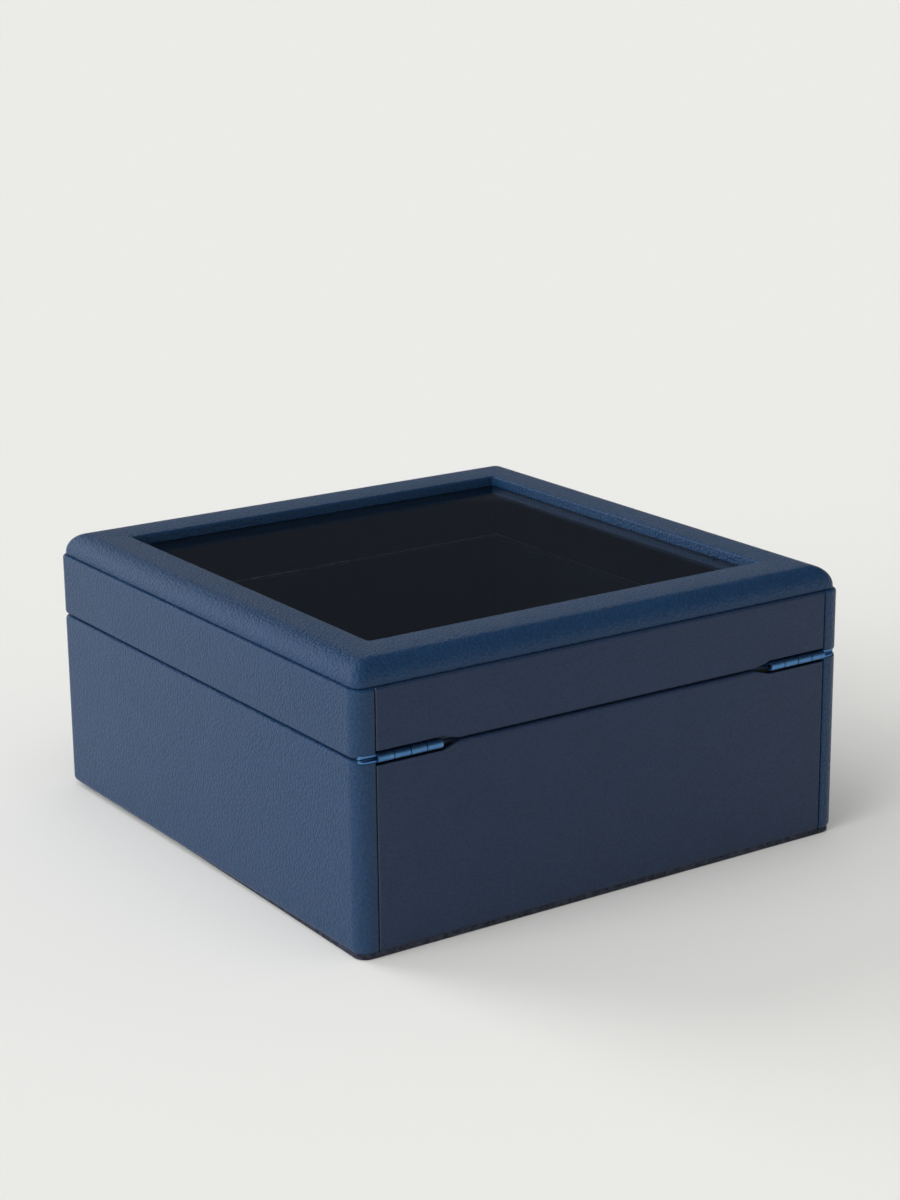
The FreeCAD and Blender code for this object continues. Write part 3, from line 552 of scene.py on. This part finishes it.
def cut_away(mesh, tools):
    """A mesh with the tools' volumes cut from it."""
    target = bpy.data.objects.new("cut_target", mesh)
    bpy.context.scene.collection.objects.link(target)
    helpers = []
    for number, tool in enumerate(tools):
        helper = bpy.data.objects.new("cut_tool_%d" % number, tool)
        bpy.context.scene.collection.objects.link(helper)
        modifier = target.modifiers.new("cut", "BOOLEAN")
        modifier.operation = "DIFFERENCE"
        modifier.solver = "EXACT"
        modifier.object = helper
        helpers.append(helper)
    result = evaluated_mesh(target)
    if not result.polygons:
        raise RuntimeError("nothing is left of " + mesh.name)
    for piece in helpers + [target]:
        bpy.data.objects.remove(piece)
    for tool in tools:
        bpy.data.meshes.remove(tool)
    bpy.data.meshes.remove(mesh)
    return result


# Leather

def quarter(radius, steps):
    """Offsets along a quarter round from its side to its top, as (in, up) distances."""
    turns = [math.pi / 2 * step / steps for step in range(steps + 1)]
    return [(radius * (1 - math.cos(turn)), radius * math.sin(turn)) for turn in turns]


def sheet_profile(low, high, low_r, high_r, foot_in, top_in):
    """A leather sheet's section over a board, as (inset, z, whether a seam's edge rolls in there)."""
    outside = [(foot_in, low)]
    for step_in, step_up in reversed(quarter(low_r, ROUND_STEPS)):
        outside.append((step_in, low + low_r - step_up))
    for step_in, step_up in quarter(high_r, ROUND_STEPS):
        outside.append((step_in, high - high_r + step_up))
    outside.append((top_in, high))
    inside = [
        (top_in, high - SKIN_T), (SKIN_T, high - SKIN_T), (SKIN_T, low + SKIN_T), (foot_in, low + SKIN_T),
    ]
    section = [(inset, z, inset < ROLL_WITHIN) for inset, z in outside]
    return section + [(inset, z, False) for inset, z in inside]


def rolled(distance):
    """How far a leather's edge rolls in at a distance from its end."""
    share = max(0.0, 1 - distance / SEAM_ROLL_W)
    return SEAM_ROLL_DEPTH * (1 - math.sqrt(1 - share ** 2))


def path_stations(seam_x, inset, radius):
    """A wrap's plan from one back seam round the front to the other, each point with how far a seam is."""
    half_x = HALF_W - inset
    half_y = HALF_D - inset
    stations = []
    for share in ROLL_SHARES:
        distance = share * SEAM_ROLL_W
        stations.append(((min(seam_x + distance, half_x - radius), half_y), distance))
    for sign_x, sign_y, start in (CORNERS[0], CORNERS[3], CORNERS[2], CORNERS[1]):
        corner = corner_points(sign_x, sign_y, half_x, half_y, radius, start)
        stations += [(point, SEAM_ROLL_W) for point in reversed(corner)]
    return stations + [((-x, y), distance) for (x, y), distance in reversed(stations[:len(ROLL_SHARES)])]


def wrap_mesh(name, section, seam_x):
    """The wrap over three sides and both back corners, with rolled edges at its two seams."""
    rows = []
    for inset, z, rolls in section:
        row = []
        for (x, y), distance in path_stations(seam_x, inset, max(CORNER_R - inset, LEAST_CORNER_R)):
            row.append((x, y - (rolled(distance) if rolls else 0.0), z))
        rows.append(row)
    return band_mesh(name, rows)


def panel_mesh(name, section, end_x):
    """The flat leather panel on the back, with rolled edges at both seams."""
    places = [(-end_x + share * SEAM_ROLL_W, share * SEAM_ROLL_W) for share in ROLL_SHARES]
    places += [(-x, distance) for x, distance in reversed(places)]
    rows = []
    for inset, z, rolls in section:
        rows.append([(x, HALF_D - inset - (rolled(distance) if rolls else 0.0), z) for x, distance in places])
    return band_mesh(name, rows)


def mirrored_outline(outline):
    """An outline on the other side of X = 0."""
    return [(-x, other) for x, other in reversed(outline)]


def hinge_cutters():
    """The channels of both barrels, and the leather cut back to the leaves' edges round the corners."""
    x_seam = PANEL_HIGH.x + SEAM_GAP / 2
    x_full = LEAF_LOW.x - CHANNEL_CLEAR
    x_end = x_full - CHANNEL_RUN_OUT
    channel = [
        (x_seam, SPLIT_Z - CHANNEL_H), (x_full, SPLIT_Z - CHANNEL_H), (x_end, SPLIT_Z - CHANNEL_TIP),
        (x_end, SPLIT_Z + CHANNEL_TIP), (x_full, SPLIT_Z + CHANNEL_H), (x_seam, SPLIT_Z + CHANNEL_H),
    ]
    tools = []
    for outline in (channel, mirrored_outline(channel)):
        tools.append(block_mesh("channel", outline, 1, CHANNEL_Y, HALF_D + CUT_PAST))
    low = WRAP_HIGH.z - LEAF_T - LEAF_FIT
    high = LID_LOW.z + LEAF_T + LEAF_FIT
    inner_x = HALF_W - LEAF_INSET - LEAF_W - LEAF_FIT
    inner_y = HALF_D - LEAF_INSET - LEAF_W - LEAF_FIT
    back_end = LEAF_LOW.x - LEAF_FIT
    side_end = LEAF_LOW.y - LEAF_FIT
    side_x = HALF_W - LEAF_SIDE_INSET + LEAF_FIT
    turn_r = CORNER_R - LEAF_INSET
    turn_y = HALF_D - CORNER_R + math.sqrt(turn_r ** 2 - (CORNER_R - LEAF_SIDE_INSET) ** 2)
    back_y = HALF_D - LEAF_INSET + LEAF_FIT
    arm = [
        (inner_x, side_end), (side_x, side_end), (side_x, turn_y), (HALF_W + CUT_PAST, turn_y),
        (HALF_W + CUT_PAST, HALF_D + CUT_PAST), (x_seam, HALF_D + CUT_PAST), (x_seam, back_y),
        (back_end, back_y), (back_end, inner_y), (inner_x, inner_y),
    ]
    for outline in (arm, mirrored_outline(arm)):
        tools.append(block_mesh("recess", outline, 2, low, high))
    return tools


def lock_cutters():
    """The holes for the lock's sleeve, its face plate and the strike plate."""
    turns = [2 * math.pi * number / SLEEVE_SIDES for number in range(SLEEVE_SIDES)]
    circle = [(SLEEVE_R * math.cos(turn), LOCK_Z + SLEEVE_R * math.sin(turn)) for turn in turns]
    sleeve = block_mesh("sleeve", circle, 1, -HALF_D - SLEEVE_DEPTH, -HALF_D + SLEEVE_DEPTH)
    low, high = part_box("strike_plate")
    plates = [(low.x, low.y), (high.x, low.y), (high.x, high.y), (low.x, high.y)]
    return [sleeve, block_mesh("plates", plates, 2, WRAP_HIGH.z - PLATE_T, high.z)]


def leather_pieces():
    """The wraps and back panels of the base and the lid."""
    seam_x = PANEL_HIGH.x + SEAM_GAP
    base = sheet_profile(WRAP_LOW.z, WRAP_HIGH.z, FOOT_R, RIM_R, FOOT_IN, WALL_IN)
    lid = sheet_profile(LID_LOW.z, LID_HIGH.z, RIM_R, STEP_R, WALL_IN, WALL_IN)
    for body, section in (("base", base), ("lid", lid)):
        wrap = cut_away(wrap_mesh(body + "_leather", section, seam_x), hinge_cutters() + lock_cutters())
        finish_piece(wrap, body + "_leather", "grained_leather", body, [body + "_wrap"])
        panel = cut_away(panel_mesh(body + "_back_leather", section, PANEL_HIGH.x), hinge_cutters())
        finish_piece(panel, body + "_back_leather", "smooth_leather", body, [body + "_back_panel"])
        # The outward faces at the panel's ends take the lighter leather: a painted highlight along its rolled
        # edges.
        panel.materials.append(MATERIALS["painted_edge_highlight"])
        for polygon in panel.polygons:
            at_end = abs(polygon.center.x) > PANEL_HIGH.x - HIGHLIGHT_STRIP_W
            if at_end and polygon.normal.y > HIGHLIGHT_STRIP_FACING:
                polygon.material_index = 1


def frame_leather():
    """The leather over the lid's frame: rounded foot, upright, shoulder, flat top and reveal."""
    low = FRAME_LOW.z
    top = FRAME_HIGH.z
    foot_r = CORNER_R - FRAME_INSET
    shoulder_z = low + FRAME_UPRIGHT
    rise = top - shoulder_z
    levels = []
    for step_in, step_up in reversed(quarter(FRAME_FOOT_R, FRAME_FOOT_STEPS)):
        levels.append((step_in, foot_r - step_in, low + FRAME_FOOT_R - step_up))
    for step in range(SHOULDER_STEPS + 1):
        turn = math.pi / 2 * step / SHOULDER_STEPS
        inset = FRAME_ROUND_W * (1 - math.cos(turn))
        radius = FRAME_TOP_R + (foot_r - FRAME_TOP_R) * math.cos(turn)
        levels.append((inset, radius, shoulder_z + rise * math.sin(turn)))
    rings = []
    for inset, radius, z in levels:
        rings.append(level_ring(FRAME_HIGH.x - inset, FRAME_HIGH.y - inset, radius, z))
    for out, up in reversed(quarter(WINDOW_EDGE_R, ROUND_STEPS)):
        rings.append(level_ring(WINDOW_X + out, WINDOW_Y + out, WINDOW_R + out, top - WINDOW_EDGE_R + up))
    seat = GLASS_HIGH.z + GLASS_GAP
    rings.append(level_ring(WINDOW_X, WINDOW_Y, WINDOW_R, seat))
    rings.append(level_ring(GLASS_HIGH.x, GLASS_HIGH.y, WINDOW_R, seat))
    rings.append(level_ring(GLASS_HIGH.x + FRAME_BACK_FLARE, GLASS_HIGH.y + FRAME_BACK_FLARE, WINDOW_R, low))
    mesh = hoop_mesh("frame_leather", rings)
    finish_piece(mesh, "frame_leather", "grained_leather", "lid", ["lid_frame_skin"])


# Linings and pad

def pillow_mesh(name, low, high, axis, sign, edge, crown, steps=PILLOW_STEPS):
    """A padded block whose face towards an axis is crowned and rounded at its edges."""
    centre = (Vector(low) + Vector(high)) / 2
    across, along = [number for number in range(3) if number != axis]
    half_a = (high[across] - low[across]) / 2
    half_b = (high[along] - low[along]) / 2
    depth = high[axis] - low[axis]

    def ring_at(width_a, width_b, radius, level):
        points = []
        for a, b in full_ring(width_a, width_b, radius):
            point = [0.0, 0.0, 0.0]
            point[across] = centre[across] + a
            point[along] = centre[along] + b
            point[axis] = centre[axis] + sign * (level - depth / 2)
            points.append(tuple(point))
        return points

    levels = [(0.0, 0.0)]
    for step_in, step_up in quarter(edge, ROUND_STEPS):
        levels.append((step_in, depth - edge - crown + step_up))
    rings = []
    for inset, level in levels:
        radius = max(edge * PILLOW_CORNER - inset * PILLOW_CORNER_LOSS, PILLOW_CORNER_LEAST)
        rings.append(ring_at(half_a - inset, half_b - inset, radius, level))
    for step in range(1, steps):
        share = 1 - step / steps
        radius = max(edge * PILLOW_CROWN_CORNER * share, PILLOW_CROWN_LEAST)
        lift = crown * (1 - share ** 2)
        rings.append(ring_at((half_a - edge) * share, (half_b - edge) * share, radius, depth - crown + lift))
    return stack_mesh(name, rings)


def linings():
    """Padded suede on the base's walls and floor."""
    for side, axis, sign in (("back", 1, -1), ("front", 1, 1), ("left", 0, 1), ("right", 0, -1)):
        node = "base_liner_" + side
        low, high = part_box(node)
        mesh = pillow_mesh("lining_" + side, low, high, axis, sign, *WALL_LINING)
        finish_piece(mesh, "lining_" + side, "lining_suede", "base", [node])
    low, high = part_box("floor_liner")
    mesh = pillow_mesh("lining_floor", low, high, 2, 1, *FLOOR_LINING)
    finish_piece(mesh, "lining_floor", "lining_suede", "base", ["floor_liner"])


def lid_linings():
    """Thin suede round the lid's walls, and over its ceiling up to the beads."""
    low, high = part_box("lid_liner")
    thick = LID_LINING_T
    inner_y = high.y - thick
    strips = [
        ((low.x, low.y, low.z), (high.x, -inner_y, high.z), 1, 1),
        ((low.x, inner_y, low.z), (high.x, high.y, high.z), 1, -1),
        ((low.x, -inner_y, low.z), (low.x + thick, inner_y, high.z), 0, 1),
        ((high.x - thick, -inner_y, low.z), (high.x, inner_y, high.z), 0, -1),
    ]
    meshes = [pillow_mesh("strip", start, end, axis, sign, *LID_LINING) for start, end, axis, sign in strips]
    finish_piece(joined(meshes, "lid_lining"), "lid_lining", "lining_suede", "lid", ["lid_liner"])
    low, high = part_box("lid_ceiling_liner")
    half_x = WINDOW_X + BEAD_SET_BACK
    half_y = WINDOW_Y + BEAD_SET_BACK
    corner = CEILING_CORNER_R
    rings = [
        level_ring(high.x, high.y, corner, low.z),
        level_ring(high.x, high.y, corner, high.z),
        level_ring(half_x, half_y, corner, high.z),
    ]
    for out, up in quarter(CEILING_EDGE_R, ROUND_STEPS):
        rings.append(level_ring(half_x + out, half_y + out, corner + out, low.z + CEILING_EDGE_R - up))
    mesh = hoop_mesh("lid_ceiling", rings)
    finish_piece(mesh, "lid_ceiling", "lining_suede", "lid", ["lid_ceiling_liner"])


def dividers():
    """Suede covered boards between the cells, with soft rounded top edges."""
    for node in ("row_divider_1", "tray_divider_long", "tray_divider_short", "column_divider_1",
                 "column_divider_2", "column_divider_3"):
        low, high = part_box(node)
        mesh = pillow_mesh(node + "_cover", low, high, 2, 1, DIVIDER_EDGE_R, 0.0)
        finish_piece(mesh, node + "_cover", "lining_suede", "base", [node])


def bottom_pad():
    """The cloth pad that the box stands on."""
    low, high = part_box("bottom_pad")
    centre_y = (low.y + high.y) / 2
    half_y = (high.y - low.y) / 2
    levels = (
        (PAD_EDGE, low.z), (0.0, low.z + PAD_EDGE), (0.0, high.z - PAD_TOP_EDGE), (PAD_EDGE, high.z),
    )
    rings = []
    for inset, z in levels:
        points = []
        for x, y in full_ring(high.x - inset, half_y - inset, PAD_CORNER_R):
            pull = 0.0 if y > half_y - PAD_BACK_STRIP else PAD_DRAWN_IN
            points.append((x - math.copysign(pull, x), y + centre_y, z))
        rings.append(points)
    finish_piece(stack_mesh("base_pad", rings), "base_pad", "pad_cloth", "base", ["bottom_pad"])


# Cushions

def cushion_start(low, high):
    """A cushion before it is filled: a rounded block, a little smaller than its cell."""
    shrink = Vector(CUSHION_SHRINK)
    rounding = (CUSHION_EDGE_R, CUSHION_CROWN, CUSHION_STEPS)
    return pillow_mesh("cushion", low + shrink, high - shrink, 2, 1, *rounding)


def filled(mesh, limit):
    """The mesh blown out by cloth pressure, with no point moved further than the limit."""
    piece = bpy.data.objects.new("filling", mesh)
    bpy.context.scene.collection.objects.link(piece)
    remesh = piece.modifiers.new("remesh", "REMESH")
    remesh.mode = "VOXEL"
    remesh.voxel_size = CUSHION_VOXEL
    start = evaluated_mesh(piece)
    piece.modifiers.clear()
    piece.data = start
    settings = piece.modifiers.new("fill", "CLOTH").settings
    settings.quality = FILL_QUALITY
    settings.use_pressure = True
    settings.uniform_pressure_force = FILL_PRESSURE
    settings.effector_weights.gravity = 0.0
    settings.tension_stiffness = FILL_STRETCH_STIFFNESS
    settings.compression_stiffness = FILL_STRETCH_STIFFNESS
    settings.bending_stiffness = FILL_BENDING_STIFFNESS
    scene = bpy.context.scene
    for number in range(1, FILL_FRAMES + 1):
        scene.frame_set(number)
    result = evaluated_mesh(piece)
    for before, after in zip(start.vertices, result.vertices):
        move = after.co - before.co
        if move.length > limit:
            after.co = before.co + move.normalized() * limit
    bpy.data.objects.remove(piece)
    scene.frame_set(1)
    return result


def fit_inside(mesh, low, high):
    """Stretches a mesh so that it just fills a box."""
    points = [vertex.co for vertex in mesh.vertices]
    own_low = Vector([min(point[axis] for point in points) for axis in range(3)])
    own_high = Vector([max(point[axis] for point in points) for axis in range(3)])
    for vertex in mesh.vertices:
        for axis in range(3):
            share = (vertex.co[axis] - own_low[axis]) / (own_high[axis] - own_low[axis])
            vertex.co[axis] = low[axis] + share * (high[axis] - low[axis])


def seam_loop(mesh, place_x):
    """The points round a closed mesh where a plane across X cuts it, in order."""
    work = bmesh.new()
    work.from_mesh(mesh)
    geometry = work.verts[:] + work.edges[:] + work.faces[:]
    cut = bmesh.ops.bisect_plane(work, geom=geometry, plane_co=(place_x, 0.0, 0.0), plane_no=(1.0, 0.0, 0.0))
    points = [item.co.copy() for item in cut["geom_cut"] if isinstance(item, bmesh.types.BMVert)]
    work.free()
    middle = sum(points, Vector()) / len(points)
    points.sort(key=lambda point: math.atan2(point.z - middle.z, point.y - middle.y))
    return points


def smooth_ring(points):
    """Points evenly spaced along a closed line, evened out a little."""
    lengths = [(points[(number + 1) % len(points)] - points[number]).length for number in range(len(points))]
    step = sum(lengths) / PIPING_POINTS
    even = []
    number = 0
    start = 0.0
    for index in range(PIPING_POINTS):
        while start + lengths[number] < index * step:
            start += lengths[number]
            number += 1
        share = (index * step - start) / lengths[number]
        even.append(points[number].lerp(points[(number + 1) % len(points)], share))
    for _ in range(PIPING_ROUNDS):
        even = [(even[index - 1] + 2 * even[index] + even[(index + 1) % PIPING_POINTS]) / 4
                for index in range(PIPING_POINTS)]
    return even


def tube_mesh(name, path, radius):
    """A closed round tube along a ring of points that lie across X."""
    side = Vector((1.0, 0.0, 0.0))
    turns = [2 * math.pi * number / PIPING_SIDES for number in range(PIPING_SIDES)]
    rings = []
    for number, point in enumerate(path):
        along = (path[(number + 1) % len(path)] - path[number - 1]).normalized()
        out = along.cross(side)
        rings.append([point + radius * (math.cos(turn) * out + math.sin(turn) * side) for turn in turns])
    return hoop_mesh(name, rings)


def piping_mesh(shape, low, high):
    """Piping round both end seams of a cushion."""
    seams = []
    for sign in (-1, 1):
        place_x = (low.x + high.x) / 2 + sign * ((high.x - low.x) / 2 - PIPING_FROM_END)
        seams.append(tube_mesh("seam", smooth_ring(seam_loop(shape, place_x)), PIPING_R))
    return joined(seams, "piping")


def moved_copy(mesh, shift):
    copy = mesh.copy()
    copy.transform(Matrix.Translation(shift))
    return copy


def cushions():
    """Eight watch cushions, filled once and set in every cell, piped along their end seams."""
    low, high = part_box("watch_cushion_1")
    shape = cushion_start(low, high)
    shape = filled(shape, FILL_LIMIT)
    fit_inside(shape, low, high)
    piping = piping_mesh(shape, low, high)
    origin = (low + high) / 2
    for number in range(1, CUSHION_COUNT + 1):
        node = "watch_cushion_%d" % number
        body = "cushion_%d" % number
        node_low, node_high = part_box(node)
        shift = (node_low + node_high) / 2 - origin
        name = "watch_pillow_%d" % number
        mesh = moved_copy(shape, shift)
        piece = finish_piece(mesh, name, "cushion_suede", body, [node], CUSHION_SHARP_FROM)
        finish_piece(moved_copy(piping, shift), "watch_piping_%d" % number, "cushion_suede", body)
        subdivision = piece.modifiers.new("smooth", "SUBSURF")
        subdivision.levels = 1
        subdivision.render_levels = 1


# CAD nodes that stay

def dress_cad_nodes():
    """Gives every CAD node a material and smooth shading, and small rounded edges to the hinges but not their
    pins, the lock, the strike, the beads and the glass.
    """
    slots = {part["node"]: part["material_slot"] for part in frame["record"]["subparts"]}
    for node, piece in frame["nodes"].items():
        is_pin = "pin" in node
        piece.data.materials.clear()
        # The pins are painted near black: painted shade in the gaps between the knuckles.
        piece.data.materials.append(MATERIALS["pin_painted_shade" if is_pin else slots[node]])
        for polygon in piece.data.polygons:
            polygon.use_smooth = True
        piece.data.set_sharp_from_angle(angle=math.radians(CAD_SHARP_FROM))
        for start, width in BEVELS.items():
            if node.startswith(start) and not is_pin:
                modifier = piece.modifiers.new("edges", "BEVEL")
                modifier.width = width * MM
                modifier.segments = BEVEL_SEGMENTS
                modifier.limit_method = "ANGLE"
                modifier.angle_limit = math.radians(BEVEL_FROM)
                modifier.harden_normals = True


# Light, floor and camera

def lamps():
    """Suns as wide as soft boxes. Their mirror images are glows in the world, without a hard rim."""
    for name, (lamp_from, strength, angle) in LAMPS.items():
        data = bpy.data.lights.new(name, "SUN")
        data.energy = strength
        data.angle = math.radians(angle)
        lamp = bpy.data.objects.new(name, data)
        lamp.rotation_mode = "QUATERNION"
        lamp.rotation_quaternion = Vector(lamp_from).to_track_quat("Z", "Y")
        lamp.visible_glossy = False
        lamp.visible_transmission = False
        bpy.context.scene.collection.objects.link(lamp)


def glow(world, direction, lamp_from, strength):
    """A soft lamp's image in the world: it gives as much light as the lamp, and fades outwards."""
    toward = add(world, "ShaderNodeVectorMath", operation="DOT_PRODUCT")
    link(world, direction, toward.inputs[0])
    toward.inputs[1].default_value = Vector(lamp_from).normalized()
    outer = math.cos(math.radians(GLOW_TO))
    inner = math.cos(math.radians(GLOW_FROM))
    brightness = strength / (math.pi * (2 - outer - inner))
    return spread(world, toward.outputs["Value"], outer, inner, 0.0, brightness, curve="SMOOTHSTEP")


def surround():
    """The world: an even surround, the backdrop, and the soft lamps' mirror images."""
    world = bpy.data.worlds.new("surround")
    world.use_nodes = True
    rays = add(world, "ShaderNodeLightPath")
    camera_ray = rays.outputs["Is Camera Ray"]
    glossy_ray = rays.outputs["Is Glossy Ray"]
    through_ray = rays.outputs["Is Transmission Ray"]
    direction = add(world, "ShaderNodeTexCoord").outputs["Generated"]
    even = world.node_tree.nodes["Background"]
    even.inputs["Color"].default_value = (*SURROUND_COLOUR, 1.0)
    even.inputs["Strength"].default_value = SURROUND

    parts = add(world, "ShaderNodeSeparateXYZ")
    link(world, direction, parts.inputs["Vector"])
    height = spread(world, parts.outputs["Z"], BACKDROP_PALE_TO, BACKDROP_DARK_FROM)
    height = math_node(world, "MULTIPLY", height, math_node(world, "SUBTRACT", 1.0, camera_ray))
    backdrop = add(world, "ShaderNodeBackground")
    link(world, ramp(world, height, [(0.0, BACKDROP_PALE), (1.0, BACKDROP_DARK)]), backdrop.inputs["Color"])
    seen = math_node(world, "MAXIMUM", math_node(world, "MAXIMUM", camera_ray, glossy_ray), through_ray)
    mix = add(world, "ShaderNodeMixShader")
    link(world, seen, mix.inputs["Fac"])
    link(world, even.outputs["Background"], mix.inputs[1])
    link(world, backdrop.outputs["Background"], mix.inputs[2])

    # Gloss mirrors the two side lamps, and all three light the inside through the glass.
    key, edge, top = [glow(world, direction, lamp_from, power) for lamp_from, power, _ in LAMPS.values()]
    sides = math_node(world, "ADD", key, edge)
    in_gloss = math_node(world, "GREATER_THAN", glossy_ray, through_ray)
    after_diffuse = math_node(world, "GREATER_THAN", rays.outputs["Diffuse Depth"], 0.5)
    inside = math_node(world, "MULTIPLY", through_ray, after_diffuse)
    strength = weighted(world, (sides, in_gloss), (math_node(world, "ADD", sides, top), inside))
    mirrored = add(world, "ShaderNodeBackground")
    link(world, strength, mirrored.inputs["Strength"])
    both = add(world, "ShaderNodeAddShader")
    link(world, mix.outputs["Shader"], both.inputs[0])
    link(world, mirrored.outputs["Background"], both.inputs[1])
    link(world, both.outputs["Shader"], world.node_tree.nodes["World Output"].inputs["Surface"])
    bpy.context.scene.world = world


def pale_floor():
    """A floor that reaches past what the camera sees."""
    work = bmesh.new()
    corners = [work.verts.new((sign_x * FLOOR_REACH, sign_y * FLOOR_REACH, 0.0)) for sign_x, sign_y in
               ((-1, -1), (1, -1), (1, 1), (-1, 1))]
    work.faces.new(corners)
    mesh = bpy.data.meshes.new("floor")
    work.to_mesh(mesh)
    work.free()
    material, shader = new_material("floor_paper")
    shader.inputs["Base Color"].default_value = (*FLOOR_COLOUR, 1.0)
    shader.inputs["Roughness"].default_value = 0.9
    shader.inputs["Specular IOR Level"].default_value = 0.0
    mesh.materials.append(material)
    floor = bpy.data.objects.new("floor", mesh)
    bpy.context.scene.collection.objects.link(floor)


def camera():
    """The camera at the photograph's place."""
    data = bpy.data.cameras.new("camera")
    data.lens = CAMERA_LENS
    data.sensor_width = CAMERA_SENSOR
    data.sensor_fit = "AUTO"
    data.clip_end = CAMERA_CLIP
    forward = Vector(CAMERA_FORWARD).normalized()
    right = forward.cross(Vector(CAMERA_UP)).normalized()
    up = right.cross(forward)
    turn = Matrix((right, up, -forward)).transposed().to_4x4()
    piece = bpy.data.objects.new("camera", data)
    piece.matrix_world = Matrix.Translation(Vector(CAMERA_AT)) @ turn
    bpy.context.scene.collection.objects.link(piece)
    bpy.context.scene.camera = piece


dress_cad_nodes()
leather_pieces()
frame_leather()
linings()
lid_linings()
dividers()
bottom_pad()
cushions()
lamps()
surround()
pale_floor()
camera()
bpy.context.scene.view_settings.view_transform = "Standard"
